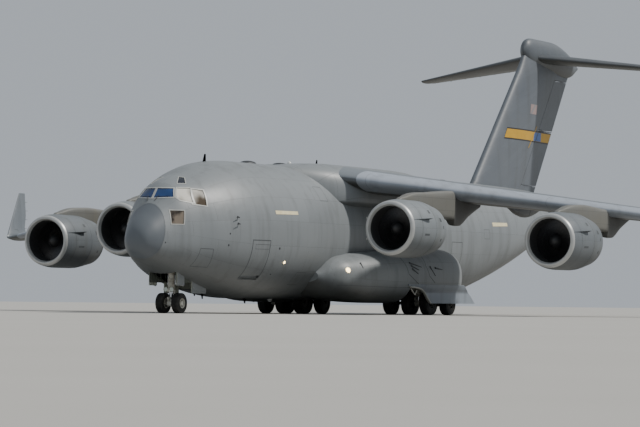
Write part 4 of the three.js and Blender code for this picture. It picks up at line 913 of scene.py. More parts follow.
def bullet_point(y, turn):
    """A place on the bullet: an oval section, blunt at its front."""
    half_width, top, bottom = bullet_at(math.sqrt(max(0, y - 44.5)))
    return (half_width * math.sin(turn), y, (top + bottom) / 2 + (top - bottom) / 2 * math.cos(turn))


bullet = loft([44.5 + (0.1 * i) ** 2 for i in range(11)] + [45.5 + 0.34 * i for i in range(1, 22)] + [52.98],
              bullet_point, 40)
bullet_paint = matt_paint("bullet_matt_paint", "#565c63", around(0, 7.9, 0.5), size=(0.9, 0.4), underside_dirt_and_shade=0.8)
finish_piece("tail_bullet_skin", bullet, [bullet_paint], "airframe", ["tail_bullet"], sharp=40)

# Engine nacelles: a short fan cowl of riveted panels with a bare aluminium lip at the inlet and
# a perforated liner inside it. Inner and outer engines differ only in the paint of their cowls.
ENGINES = [
    # number, side sign, X, inlet Y, axis Z
    (1, 1, 14.8, 14.27, 3.81), (2, 1, 7.86, 10.33, 4.35),
    (3, -1, 7.86, 10.33, 4.35), (4, -1, 14.8, 14.27, 3.81),
]
NACELLE_OUTSIDE = [
    # Y after the inlet, radius
    (0.0, 1.2), (0.05, 1.31), (0.3, 1.39), (1.0, 1.46), (2.6, 1.46), (4.1, 1.25),
]
NACELLE_INSIDE = [(0.0, 1.2), (0.05, 1.16), (0.35, 1.08), (1.25, 1.1), (2.8, 1.24), (4.1, 1.225)]
LIP_LENGTH = 0.2
LINER_RADIUS = 1.245
COWL_SEGMENTS = 72
COWL_GROOVE = {"y": 2.515, "depth": 0.012}  # where the fan cowl ends


def rooted(rows):
    """A line that starts square to its first place, as a lip does. It is read by the root of Y."""
    return through([(math.sqrt(row[0]), *row[1:]) for row in rows])


def turned(profile, segments, closed=False):
    """Spins a profile of Y and radius round the Y axis."""
    bm = bmesh.new()
    chain = [bm.verts.new((radius, y, 0)) for y, radius in profile]
    for a, b in zip(chain, chain[1:] + (chain[:1] if closed else [])):
        bm.edges.new((a, b))
    bmesh.ops.spin(bm, geom=list(bm.verts) + list(bm.edges), cent=(0, 0, 0), axis=(0, 1, 0), dvec=(0, 0, 0),
                   angle=2 * math.pi, steps=segments, use_merge=True)
    bmesh.ops.remove_doubles(bm, verts=bm.verts, dist=1e-4)
    bmesh.ops.recalc_face_normals(bm, faces=bm.faces)
    return bm


def moved(bm, x, y, z):
    """Shifts a mesh and gives it back."""
    bmesh.ops.translate(bm, verts=bm.verts, vec=(x, y, z))
    return bm


outside_at, inside_at = rooted(NACELLE_OUTSIDE), rooted(NACELLE_INSIDE)
cowl_places = [(0.06 * i) ** 2 for i in range(9)] + [
    0.32, 0.45, 0.6, 0.8, 1.0, 1.4, 1.8, 2.2, 2.5, COWL_GROOVE["y"], 2.53, 2.9, 3.3, 3.7, 4.1]
cowl_line = [(y, outside_at(math.sqrt(y))[0] - (COWL_GROOVE["depth"] if y == COWL_GROOVE["y"] else 0))
             for y in cowl_places]
cowl_line += [(y, inside_at(math.sqrt(y))[0]) for y in reversed(cowl_places[1:])]
cowl_form = turned(cowl_line, COWL_SEGMENTS, closed=True)

# Lip: bare aluminium, dulled unevenly by rain and sand.
lip_metal, tree, surface = new_material("inlet_lip_bare_aluminium")
place = node(tree, "ShaderNodeTexCoord")
dull = node(tree, "ShaderNodeTexNoise", {"Vector": place.outputs["Object"], "Scale": 6.0, "Detail": 6.0})
tone = node(tree, "ShaderNodeMix", {"Factor": dull.outputs["Fac"], "A": srgb("#a9abab"), "B": srgb("#c3c4c2")},
            data_type="RGBA")
tree.links.new(tone.outputs["Result"], surface.inputs["Base Color"])
matt = node(tree, "ShaderNodeMapRange", {"Value": dull.outputs["Fac"], "To Min": 0.32, "To Max": 0.5})
tree.links.new(matt.outputs["Result"], surface.inputs["Roughness"])
surface.inputs["Metallic"].default_value = 0.35

# Liner: dark sheet with small round holes, which deadens the fan's noise.
liner, tree, surface = new_material("inlet_liner")
place = node(tree, "ShaderNodeTexCoord")
holes = node(tree, "ShaderNodeTexVoronoi", {"Vector": place.outputs["Object"], "Scale": 90.0})
tone = node(tree, "ShaderNodeMix", {"Factor": holes.outputs["Distance"], "A": srgb("#242526"),
                                    "B": srgb("#343536")}, data_type="RGBA")
tree.links.new(tone.outputs["Result"], surface.inputs["Base Color"])
surface.inputs["Roughness"].default_value = 0.6

# Nozzle and plug: heat-stained nickel alloy, behind the engine's core.
hot_metal = two_tones("exhaust_nozzle_alloy", "#5d574c", "#a39c8b", 5.0, 7.0, 0.42, metallic=0.6)
NOZZLE = [(2.35, 0.786), (3.2, 0.806), (4.1, 0.808), (4.6, 0.7), (5.2, 0.478), (5.2, 0.455), (4.7, 0.5)]
PLUG = [(4.5, 0.3), (5.1, 0.37), (5.3, 0.325), (5.6, 0.2), (5.86, 0.08), (5.91, 0.0)]

# Fan: 36 twisted titanium blades with a shroud ring part of the way out, round a painted spinner.
# All of it turns on the engine's shaft.
FAN_Y = 1.02
BLADES = 36
BLADE_ROWS = [
    # radius, chord, lean of the blade from the plane's axis in degrees
    (0.33, 0.21, 22), (0.5, 0.23, 36), (0.7, 0.25, 48), (0.9, 0.27, 57), (1.065, 0.28, 63),
]
# Blades: polished titanium. Spinner: dark enamel, dusty in patches.
blade_metal = two_tones("titanium_blade", "#3a3b3e", "#57585a", 20.0, 4.0, 0.38, metallic=0.85)
spinner_paint = two_tones("spinner_enamel", "#1f2022", "#2c2d2f", 12.0, 4.0, 0.45)


def fan_blade(angle):
    """One blade: a grid of rows from hub to tip, each turned to its own lean."""
    bm = bmesh.new()
    bmesh.ops.create_grid(bm, x_segments=3, y_segments=len(BLADE_ROWS) - 1, size=1)
    for vert in bm.verts:
        radius, chord, lean = BLADE_ROWS[round((vert.co.y + 1) / 2 * (len(BLADE_ROWS) - 1))]
        way, bow = vert.co.x * chord / 2, 0.02 * (1 - vert.co.x ** 2)
        lean = math.radians(lean)
        vert.co = (way * math.sin(lean) + bow * math.cos(lean), FAN_Y + way * math.cos(lean) * 0.75, radius)
    bmesh.ops.solidify(bm, geom=list(bm.faces), thickness=0.012)
    bmesh.ops.rotate(bm, verts=bm.verts, cent=(0, 0, 0), matrix=Matrix.Rotation(angle, 3, "Y"))
    return bm


blades = gather([fan_blade(2 * math.pi * i / BLADES) for i in range(BLADES)]
                + [turned([(0.98, 0.74), (1.0, 0.755), (1.04, 0.755), (1.06, 0.74)], 72, closed=True)])
spinner = turned([(0.6, 0.0), (0.61, 0.06), (0.66, 0.15), (0.76, 0.25), (0.9, 0.335), (1.0, 0.36),
                  (1.19, 0.36), (1.19, 0.0)], 48)

# Strakes: a four-sided plate on each side of a nacelle, riveted to the cowl, which steers the air
# over the wing.
STRAKE = {"y0": 0.15, "y1": 1.75, "height": 0.3, "angle": 18, "thickness": 0.03}


def strake(side):
    """One strake on an engine's axis, on its outboard or its inboard side."""
    bm = bmesh.new()
    root = outside_at(math.sqrt(0.9))[0] - 0.08
    corners = [bm.verts.new((0, y, z)) for y, z in (
        (STRAKE["y0"], root), (STRAKE["y1"], root), (STRAKE["y1"] + 0.05, root + STRAKE["height"]),
        (STRAKE["y1"] - 0.25, root + STRAKE["height"]))]
    bm.faces.new(corners)
    bmesh.ops.solidify(bm, geom=list(bm.faces), thickness=STRAKE["thickness"])
    turn = Matrix.Rotation(math.radians(side * (90 - STRAKE["angle"])), 3, "Y")
    bmesh.ops.rotate(bm, verts=bm.verts, cent=(0, 0, 0), matrix=turn)
    return bm


# Cowls: the hull's matt grey, which is darker on the outer engines.
cowl_paints = {x: matt_paint(f"cowl_matt_paint_{label}", colour, around(x / 2, z / 2, 0.72),
                             size=(0.62, 0.56), underside_dirt_and_shade=0.45, stain="#55564f")
               for label, colour, x, z in (("inner", "#787e82", 7.86, 4.35), ("outer", "#62686d", 14.8, 3.81))}

# Pylons: riveted boxes with a fairing in front, hung from the wing. Their sides are stained beige
# by oil and heat, and they end in a step behind the nozzle. Behind it they are painted near black,
# part soot and part painted shade under the wing.
PYLON_SECTIONS = [
    # Y after the inlet, half width, bottom and top Z over the axis, how far the top has come up to
    # the wing's front edge
    (0.85, 0.0, 1.25, 1.3, 0), (0.9, 0.06, 1.2, 1.41, 0), (1.45, 0.2, 1.1, 1.61, 0), (2.2, 0.275, 1.0, 1.79, 0),
    (3.9, 0.305, 1.0, 1.91, 0), (5.2, 0.325, 0.68, 1.94, 0.4), (7.14, 0.325, 0.575, 1.95, 1),
    (7.3, 0.225, 0.335, 1.95, 1), (8.0, 0.205, 0.295, 1.95, 1), (9.2, 0.165, 0.795, 1.95, 1),
    (10.9, 0.04, 1.375, 1.95, 1),
]
PYLON_BACK = 7.16  # the sides are painted near black behind this place, as soot and painted shade
PYLON_SQUARENESS = 0.45


def side_panels(tree, split):
    """Panels laid out along Y and Z, for a flat side."""
    return node(tree, "ShaderNodeCombineXYZ", {"X": split["Y"], "Y": split["Z"]}).outputs["Vector"]


pylon_paint = matt_paint("pylon_stained_paint", "#696862", side_panels, size=(0.8, 0.3), underside_dirt_and_shade=0.5,
                         seam=0.006, stain="#6b6556")
pylon_back_soot_and_shade_paint = matt_paint("pylon_soot_and_painted_shade", "#3f3f3c", side_panels, size=(0.8, 0.3), underside_dirt_and_shade=0.5,
                              seam=0.006, stain="#2b2a28")
pylon_at = through(PYLON_SECTIONS)


def pylon_piece(x, axis_z):
    """A pylon, with Y from its engine's inlet and Z from its engine's axis."""
    front = wing_at(x)[1] - axis_z

    def point(y, turn):
        half_width, bottom, over, share = pylon_at(y)
        top = over + (front - over) * share
        up, side = math.cos(turn), math.sin(turn)
        return (half_width * math.copysign(abs(side) ** PYLON_SQUARENESS, side), y,
                (top + bottom) / 2 + (top - bottom) / 2 * math.copysign(abs(up) ** PYLON_SQUARENESS, up))
    places = [0.85, 0.86, 0.88, 0.9, 1.0, 1.1, 1.25] + [1.45 + 0.28 * i for i in range(20)] + [
        7.05, 7.14, 7.18, 7.22, 7.26, 7.3] + [7.5 + 0.34 * i for i in range(10)] + [10.9]
    return loft(places, point, 40)


for number, sign, x, inlet_y, axis_z in ENGINES:
    def side_of(bm):
        """Sets a piece on its engine's axis, on the engine's side."""
        moved(bm, x, inlet_y, axis_z)
        return bm if sign > 0 else other_side(bm)

    cowl = side_of(cowl_form.copy())
    for face in cowl.faces:
        middle = face.calc_center_median()
        radius = math.hypot(middle.x - sign * x, middle.z - axis_z)
        behind = middle.y - inlet_y
        inner = face.normal.x * (middle.x - sign * x) + face.normal.z * (middle.z - axis_z) < 0
        face.material_index = 1 if behind < LIP_LENGTH else 2 if inner and radius < LINER_RADIUS else 0
    finish_piece(f"engine_{number}_nacelle_skin", cowl, [cowl_paints[x], lip_metal, liner], "airframe",
                 [f"engine_{number}_nacelle"])
    finish_piece(f"engine_{number}_strakes", gather([side_of(strake(s)) for s in (1, -1)]),
                 [cowl_paints[x]], "airframe")
    finish_piece(f"engine_{number}_nozzle", side_of(turned(NOZZLE, 56)), [hot_metal], "airframe")
    finish_piece(f"engine_{number}_plug", side_of(turned(PLUG, 40)), [hot_metal], "airframe")
    pylon = side_of(pylon_piece(x, axis_z))
    for face in pylon.faces:
        face.material_index = 1 if face.calc_center_median().y - inlet_y > PYLON_BACK else 0
    finish_piece(f"engine_{number}_pylon_skin", pylon, [pylon_paint, pylon_back_soot_and_shade_paint],
                 "airframe", [f"engine_{number}_pylon"], sharp=40)
    finish_piece(f"engine_{number}_fan_blades", side_of(blades.copy()), [blade_metal],
                 f"engine_{number}_fan", [f"engine_{number}_fan"])
    finish_piece(f"engine_{number}_spinner", side_of(spinner.copy()), [spinner_paint],
                 f"engine_{number}_fan")
    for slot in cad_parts[f"engine_{number}_core"].material_slots:
        slot.material = hot_metal

# Main gear pods: long riveted fairings low on the fuselage's sides. The well is open underneath,
# and its outer door hangs open along the pod's side.
POD_SECTIONS = [
    # Y, outer X, top Z, bottom Z
    (11.9, 3.1, 2.3, 1.6), (12.5, 3.85, 2.75, 1.15), (14.2, 4.65, 3.1, 0.8), (17.0, 5.2, 3.3, 0.62),
    (20.0, 5.45, 3.45, 0.6), (23.6, 5.45, 3.55, 0.6), (25.2, 5.0, 3.45, 0.7), (26.8, 4.2, 3.2, 1.0),
    (28.6, 3.0, 2.9, 1.6),
]
POD_INNER_X = 1.5
WELL = {"y0": 18.2, "y1": 25.0, "top": 1.46}
pod_at = through(POD_SECTIONS)


def pod_reach(outer):
    """How much of the pod's width is the soft oval of its outer side."""
    return min(1.7, outer - POD_INNER_X - 0.2)


def pod_point(y, turn):
    """A soft oval on the outer side, and a flat wall inside the fuselage."""
    outer, top, bottom = pod_at(y)
    reach = pod_reach(outer)
    up, side = math.cos(turn), math.sin(turn)
    across = reach * side ** 0.8 if side > 0 else -(outer - reach - POD_INNER_X) * (-side) ** 0.3
    height = (top - bottom) / 2 * math.copysign(abs(up) ** (0.8 if side > 0 else 0.15), up)
    return (outer - reach + across, y, (top + bottom) / 2 + height)


pod_form = loft([11.9 + 0.1 * i for i in range(23)] + [14.3 + 0.35 * i for i in range(27)]
                + [23.8 + 0.16 * i for i in range(31)], pod_point, 72)
pod_front, pod_middle, pod_back = pod_form.copy(), pod_form.copy(), pod_form.copy()
clip(pod_front, (0, WELL["y0"], 0), (0, 1, 0), True)
clip(pod_middle, (0, WELL["y0"], 0), (0, -1, 0), True)
clip(pod_middle, (0, WELL["y1"], 0), (0, 1, 0), True)
clip(pod_middle, (0, 0, WELL["top"]), (0, 0, -1), True)
clip(pod_back, (0, WELL["y1"], 0), (0, -1, 0), True)
pod = gather([pod_front, pod_middle, pod_back])
# The pod's paint darkens strongly where it faces down: part dirt, part painted shade.
pod_paint = matt_paint("pod_matt_paint", "#7f8486", around(1.75, 1.0, 0.8), size=(0.9, 0.46), underside_dirt_and_shade=0.75)


def block(centre, size, bevel):
    """A box with its edges rounded."""
    bm = bmesh.new()
    bmesh.ops.create_cube(bm, size=1)
    bmesh.ops.scale(bm, verts=bm.verts, vec=size)
    bmesh.ops.bevel(bm, geom=list(bm.edges), offset=bevel, segments=2, affect="EDGES")
    return moved(bm, *centre)


# Well door: one curved plate of the same build as the pod, hinged along its side and hanging open.
# It is painted paler and bluer than the pod, as painted skylight on a door in shade, with a pale
# rounded edge in front that is a painted highlight.
WELL_DOOR = {
    # height and Y of the front and back edge
    "front": [(0.62, 20.6), (0.85, 20.25), (1.03, 20.03), (1.23, 19.72), (1.36, 19.35), (1.42, 19.0),
              (1.47, 18.1), (1.6, 17.9)],
    "back": [(0.62, 26.3), (1.1, 25.6), (1.6, 24.6)],
    "x": 5.29, "thickness": 0.07, "foot": 0.62, "height": 0.98, "off_pod": 0.03, "lean": 0.12, "lean_from": 1.2,
}
DOOR_EDGE = {"x": 5.33, "radius": 0.05, "top": 1.55}
door_front_at, door_back_at = through(WELL_DOOR["front"]), through(WELL_DOOR["back"])


def pod_side(y, z):
    """How far out the pod's side lies at a height."""
    outer, top, bottom = pod_at(y)
    reach = pod_reach(outer)
    share = min(1, abs(z - (top + bottom) / 2) / ((top - bottom) / 2)) ** 1.25
    return outer - reach + reach * math.sqrt(max(0, 1 - share * share)) ** 0.8


well_door = bmesh.new()
bmesh.ops.create_grid(well_door, x_segments=48, y_segments=14, size=1)
for vert in well_door.verts:
    along, z = (vert.co.x + 1) / 2, WELL_DOOR["foot"] + WELL_DOOR["height"] / 2 * (vert.co.y + 1)
    front, back = door_front_at(z)[0], door_back_at(z)[0]
    y = front + (back - front) * along
    hang = max(pod_side(min(y, 23.0), max(z, 1.05)) + WELL_DOOR["off_pod"], WELL_DOOR["x"])
    lean = WELL_DOOR["lean"] * max(0, z - WELL_DOOR["lean_from"])
    vert.co = (max(hang, WELL_DOOR["x"] + lean), y, z)
bmesh.ops.recalc_face_normals(well_door, faces=well_door.faces)
if well_door.faces[:][0].normal.x < 0:
    bmesh.ops.reverse_faces(well_door, faces=well_door.faces)
well_door = thicken(well_door, WELL_DOOR["thickness"])
well_door_skylit_paint = matt_paint("well_door_paint_painted_skylight", "#8e98a4", side_panels, size=(1.9, 0.6), underside_dirt_and_shade=0.6)
# Door edges: pale enamel, chipped, and brighter than the door as a painted highlight on its lit front edge.
door_edge_highlight_paint = two_tones("door_edge_enamel_painted_highlight", "#9a9a94", "#c4c3ba", 18.0, 6.0, 0.5)
for face in well_door.faces:
    face.normal_update()
    on_edge = abs(face.normal.x) < 0.6 and face.calc_center_median().z < DOOR_EDGE["top"]
    face.material_index = 1 if on_edge else 0

# A pale bead along the well door's front edge carries that painted highlight.
edge_highlight_beads = []
edge_line = [
    Vector((DOOR_EDGE["x"] + WELL_DOOR["lean"] * max(0, z - WELL_DOOR["lean_from"]), door_front_at(z)[0], z))
    for z in (0.63, 0.74, 0.85, 0.95, 1.03, 1.13, 1.23, 1.3, 1.36, 1.42, 1.47)]
for low, high in zip(edge_line, edge_line[1:]):
    edge_highlight_beads.append(painted(cone(low, high, DOOR_EDGE["radius"], DOOR_EDGE["radius"], 10), 1))
well_door = gather([well_door] + edge_highlight_beads)
for side, sign in SIDES:
    finish_piece(f"gear_pod_{side}_skin", sided(pod, sign), [pod_paint],
                 "airframe", [f"gear_pod_{side}"], sharp=36)
    finish_piece(f"gear_well_door_{side}", sided(well_door, sign),
                 [well_door_skylit_paint, door_edge_highlight_paint], "airframe", sharp=40)

# Wheels: grooved tyres on forged aluminium wheels, each with a ring of holes in its web, a bead
# flange and a cap. A wheel set is one axle with its wheels.

# Tyres: black rubber, grey with dust in patches.
rubber, tree, surface = new_material("tyre_rubber")
place = node(tree, "ShaderNodeTexCoord")
dust = node(tree, "ShaderNodeTexNoise", {"Vector": place.outputs["Object"], "Scale": 7.0, "Detail": 8.0,
                                         "Roughness": 0.65})
dusty = node(tree, "ShaderNodeMapRange", {"Value": dust.outputs["Fac"], "From Min": 0.4, "From Max": 0.75})
tone = node(tree, "ShaderNodeMix", {"Factor": dusty.outputs["Result"], "A": srgb("#1b1b1c"),
                                    "B": srgb("#3a3934")}, data_type="RGBA")
tree.links.new(tone.outputs["Result"], surface.inputs["Base Color"])
scuff = node(tree, "ShaderNodeMapRange", {"Value": dust.outputs["Fac"], "To Min": 0.7, "To Max": 0.95})
tree.links.new(scuff.outputs["Result"], surface.inputs["Roughness"])
bump = node(tree, "ShaderNodeBump", {"Height": dust.outputs["Fac"], "Strength": 0.25, "Distance": 0.003})
tree.links.new(bump.outputs["Normal"], surface.inputs["Normal"])

# Legs: pale glossy enamel with brown grime. Pistons: hard chrome under a thin film of oil.
leg_enamel, tree, surface = new_material("gear_enamel")
place = node(tree, "ShaderNodeTexCoord")
soot = node(tree, "ShaderNodeTexNoise", {"Vector": place.outputs["Object"], "Scale": 5.0, "Detail": 7.0})
grimy = node(tree, "ShaderNodeMapRange", {"Value": soot.outputs["Fac"], "From Min": 0.42, "From Max": 0.7})
tone = node(tree, "ShaderNodeMix", {"Factor": grimy.outputs["Result"], "A": srgb("#d3d2c8"),
                                    "B": srgb("#6f6b60")}, data_type="RGBA")
tree.links.new(tone.outputs["Result"], surface.inputs["Base Color"])
shine = node(tree, "ShaderNodeMapRange", {"Value": soot.outputs["Fac"], "To Min": 0.3, "To Max": 0.6})
tree.links.new(shine.outputs["Result"], surface.inputs["Roughness"])

chrome = two_tones("strut_chrome", "#a7a9ab", "#cfd0d1", 30.0, 3.0, 0.18, metallic=1.0)
# Main wheels' hubs: very dark, part brake dust and part painted shade inside the wheels.
hub_dust_and_shade = two_tones("main_hub_brake_dust_and_painted_shade", "#262624", "#4a4944", 9.0, 6.0, 0.7)
GEAR_MATERIALS = [rubber, leg_enamel, chrome]
MAIN_WHEEL_MATERIALS = [rubber, hub_dust_and_shade, hub_dust_and_shade]
RUBBER, ENAMEL, CHROME = 0, 1, 2


def wheel(x, y, sizes):
    """One wheel on an axle along X, alike on both sides. sizes is a row such as MAIN_WHEEL."""
    width, radius, rim = sizes["width"], sizes["radius"], sizes["rim"]
    half = width / 2
    side = [(half * (0.9 + 0.1 * math.sin(math.pi * k / 7)), rim + (radius * 0.93 - rim) * k / 7)
            for k in range(8)]
    shoulder = [(half * (0.62 + 0.28 * math.cos(math.radians(a))),
                 radius * 0.93 + radius * 0.07 * math.sin(math.radians(a))) for a in range(18, 91, 18)]
    tread = [(half * share, radius - drop) for share, drop in (
        (0.5, 0), (0.48, 0.014), (0.42, 0.014), (0.4, 0), (0.18, 0), (0.16, 0.014), (0.1, 0.014), (0.08, 0))]
    half_line = side + shoulder + tread
    line = half_line + [(-across, r) for across, r in reversed(half_line)]
    # The tyre goes on inwards under the flanges, and the web is a disc with a cap and nine holes. The
    # holes are short dark plugs on each face of the web, painted shade where the web is open.
    tyre = painted(turned(line + [(-half * 0.86, rim * 0.97), (half * 0.86, rim * 0.97)], 64, closed=True),
                   RUBBER)
    outward = [(half * 0.92, rim * 0.99), (half * 0.92, rim * 0.9), (half * 0.62, rim * 0.84),
               (half * 0.5, rim * 0.62), (half * 0.56, rim * 0.45), (half * 0.95, rim * 0.4),
               (half * 1.0, rim * 0.33), (half * 1.0, 0.0)]
    web = outward + [(-across, r) for across, r in reversed(outward[:-1])] + [(-half * 1.0, 0.0)]
    parts = [tyre, painted(turned(web, 48), ENAMEL)]
    for i in range(9):
        turn = 2 * math.pi * i / 9
        spot = Vector((rim * 0.73 * math.cos(turn), 0, rim * 0.73 * math.sin(turn)))
        for way in (1, -1):
            hole = cone(spot + Vector((0, way * half * 0.45, 0)), spot + Vector((0, way * half * 0.575, 0)),
                        rim * 0.085, rim * 0.085, 12)
            parts.append(painted(hole, RUBBER))
    whole = gather(parts)
    bmesh.ops.rotate(whole, verts=whole.verts, cent=(0, 0, 0), matrix=Matrix.Rotation(-math.pi / 2, 3, "Z"))
    return moved(whole, x, y, sizes["axle_z"])


def bar(start, end, radius, segments, index):
    """A round bar between two places, in one of the gear's materials."""
    return painted(cone(Vector(start), Vector(end), radius, radius, segments), index)


def brake(x, y, z, radius, width):
    """A stack of carbon discs inside a wheel's inner face."""
    return [bar((x + width * (k - 2.5) / 5, y, z), (x + width * (k - 1.9) / 5, y, z), radius, 40, RUBBER)
            for k in range(6)]


MAIN_WHEEL_X = (2.72, 3.8, 4.88)
MAIN_ROWS = [("front", 21.18), ("rear", 23.64)]
MAIN_WHEEL = {"axle_z": 0.6228, "radius": 0.621, "width": 0.5, "rim": 0.3}
NOSE_WHEEL = {"x": 0.445, "y": 2.37, "axle_z": 0.498, "radius": 0.4965, "width": 0.4, "rim": 0.25}
AXLE_RADIUS = 0.085
MAIN_AXLE_X = (2.42, 5.18)
NOSE_AXLE_X = (-0.64, 0.64)
for row, y in MAIN_ROWS:
    axle = bar(*[(x, y, MAIN_WHEEL["axle_z"]) for x in MAIN_AXLE_X], AXLE_RADIUS, 32, CHROME)
    wheel_set = gather([axle] + [wheel(x, y, MAIN_WHEEL) for x in MAIN_WHEEL_X])
    for side, sign in SIDES:
        name = f"main_wheels_{row}_{side}"
        finish_piece(f"{name}_tyres", sided(wheel_set, sign),
                     MAIN_WHEEL_MATERIALS, name, [name])
axle = bar(*[(x, NOSE_WHEEL["y"], NOSE_WHEEL["axle_z"]) for x in NOSE_AXLE_X], AXLE_RADIUS, 32, CHROME)
wheel_set = gather([axle] + [wheel(way * NOSE_WHEEL["x"], NOSE_WHEEL["y"], NOSE_WHEEL) for way in (1, -1)])
finish_piece("nose_wheels_tyres", wheel_set, GEAR_MATERIALS, "nose_wheels", ["nose_wheels"])

# Main legs: one shock strut to each axle, with its torque links and brace, under a beam in the
# well. The struts are enamelled, and their pistons are chromed.
LEG_X, BEAM_INNER_X, BEAM_Y = 4.34, 3.26, 22.41
BRAKE_STEP = 0.24  # from a leg to the brakes beside it
AXLE_Z = MAIN_WHEEL["axle_z"]


def strut_parts(x, y, axle_z, top_z, barrel, piston, split_z):
    """A barrel above, a chromed piston below it, the collar between them, and the axle's boss."""
    return [
        bar((x, y, split_z), (x, y, top_z), barrel, 32, ENAMEL),
        bar((x, y, split_z - 0.05), (x, y, split_z + 0.03), barrel * 1.18, 32, ENAMEL),
        bar((x, y, axle_z + 0.05), (x, y, split_z), piston, 32, CHROME),
        bar((x - 0.15, y, axle_z), (x + 0.15, y, axle_z), 0.17, 32, ENAMEL),
    ]


def link(points, width, thickness):
    """Flat links through places in a plane across X, as wide along X as asked."""
    parts = []
    for a, b in zip(points, points[1:]):
        a, b = Vector(a), Vector(b)
        bm = bmesh.new()
        bmesh.ops.create_cube(bm, size=1)
        bmesh.ops.bevel(bm, geom=list(bm.edges), offset=0.12, segments=2, affect="EDGES")
        bmesh.ops.scale(bm, verts=bm.verts, vec=(width, thickness, (b - a).length + thickness))
        turn = (b - a).to_track_quat("Z", "X").to_matrix()
        bmesh.ops.rotate(bm, verts=bm.verts, cent=(0, 0, 0), matrix=turn)
        parts.append(painted(moved(bm, *((a + b) / 2)), ENAMEL))
    return parts


leg_parts = []
for row, y in MAIN_ROWS:
    behind = 0.3 if row == "rear" else -0.3
    leg_parts += strut_parts(LEG_X, y, AXLE_Z, top_z=1.45, barrel=0.14, piston=0.095, split_z=1.02)
    leg_parts += link([(LEG_X, y + behind * 0.4, 0.62), (LEG_X, y + behind * 1.5, 0.84),
                       (LEG_X, y + behind * 0.45, 1.08)], width=0.12, thickness=0.06)
    leg_parts.append(bar((LEG_X, y, 0.82), (LEG_X, BEAM_Y, 1.36), 0.055, 20, ENAMEL))
    for x in (LEG_X - BRAKE_STEP, LEG_X + BRAKE_STEP, BEAM_INNER_X + BRAKE_STEP):
        leg_parts += brake(x, y, AXLE_Z, radius=0.22, width=0.1)
leg_parts.append(painted(block(((LEG_X + BEAM_INNER_X) / 2, BEAM_Y, 1.4),
                               (LEG_X - BEAM_INNER_X + 0.3, 2.86, 0.11), bevel=0.03), ENAMEL))
legs = gather(leg_parts)
for side, sign in SIDES:
    finish_piece(f"main_gear_struts_{side}", sided(legs, sign),
                 GEAR_MATERIALS, "airframe", [f"main_gear_legs_{side}"])
legs.free()

# Nose gear: the leg stands in its bay with a drag brace behind it. Below the steering collar the
# fork carries the axle, two taxi lamps and the lug for a tow bar.
NOSE_Y = NOSE_WHEEL["y"]
BAY_ROOF = 2.74
BRACE_Y = 4.1
leg_parts = [
    bar((0, NOSE_Y, 1.26), (0, NOSE_Y, BAY_ROOF), 0.16, 36, ENAMEL),  # barrel
    bar((0, NOSE_Y, 1.5), (0, BRACE_Y, 2.66), 0.075, 24, ENAMEL),  # drag brace
    bar((-0.52, NOSE_Y, 2.62), (0.52, NOSE_Y, 2.62), 0.115, 28, ENAMEL),  # the leg's pin
    bar((-0.22, BRACE_Y, 2.64), (0.22, BRACE_Y, 2.64), 0.09, 24, ENAMEL),  # the brace's pin
]
COLLAR_HEIGHTS = (1.62, 1.92, 2.3)
for height in COLLAR_HEIGHTS:
    leg_parts.append(bar((0, NOSE_Y, height), (0, NOSE_Y, height + 0.08), 0.185, 36, ENAMEL))
for way in (1, -1):  # a steering cylinder on each side
    leg_parts.append(bar((way * 0.2, NOSE_Y + 0.05, 1.4), (way * 0.2, NOSE_Y + 0.05, 1.86), 0.05, 20, CHROME))
finish_piece("nose_gear_strut", gather(leg_parts), GEAR_MATERIALS, "airframe", ["nose_gear_leg"])
fork_parts = strut_parts(0, NOSE_Y, NOSE_WHEEL["axle_z"], top_z=1.245, barrel=0.19, piston=0.105,
                         split_z=1.1)
torque_links = [(0, NOSE_Y + 0.1, 0.56), (0, NOSE_Y + 0.4, 0.86), (0, NOSE_Y + 0.14, 1.14)]
tow_lug = [(0, NOSE_Y - 0.29, 0.72), (0, NOSE_Y - 0.02, 0.72)]
fork_parts += link(torque_links, width=0.13, thickness=0.06) + link(tow_lug, width=0.15, thickness=0.11)
fork_parts.append(bar((-0.24, NOSE_Y - 0.2, 1.17), (0.24, NOSE_Y - 0.2, 1.17), 0.045, 20, ENAMEL))
LAMP = {"x": 0.17, "y": 2.14, "z": 1.16, "radius": 0.11}
# Taxi lamps: fluted glass in an enamelled shell.
lamp_glass, tree, surface = new_material("taxi_lamp_glass")
place = node(tree, "ShaderNodeTexCoord")
flutes = node(tree, "ShaderNodeTexVoronoi", {"Vector": place.outputs["Object"], "Scale": 60.0})
tone = node(tree, "ShaderNodeMix", {"Factor": flutes.outputs["Distance"], "A": srgb("#dfe7df"),
                                    "B": srgb("#a9b8b0")}, data_type="RGBA")
tree.links.new(tone.outputs["Result"], surface.inputs["Base Color"])
surface.inputs["Roughness"].default_value = 0.1
surface.inputs["Coat Weight"].default_value = 1.0
lamp_parts = []
for way in (1, -1):
    shell_line = [(0.0, LAMP["radius"]), (-0.03, LAMP["radius"] * 1.06), (0.05, LAMP["radius"] * 1.06),
                  (0.12, LAMP["radius"] * 0.8), (0.17, LAMP["radius"] * 0.4), (0.18, 0.0)]
    lens_line = [(0.0, LAMP["radius"]), (-0.012, LAMP["radius"] * 0.6), (-0.018, 0.0)]
    for line, index in ((shell_line, 0), (lens_line, 1)):
        lamp_parts.append(moved(painted(turned(line, 32), index), way * LAMP["x"], LAMP["y"] - 0.02, LAMP["z"]))
finish_piece("nose_gear_fork_struts", gather(fork_parts), GEAR_MATERIALS, "nose_gear_fork",
             ["nose_gear_fork"])
finish_piece("taxi_lamps", gather(lamp_parts), [leg_enamel, lamp_glass], "nose_gear_fork")

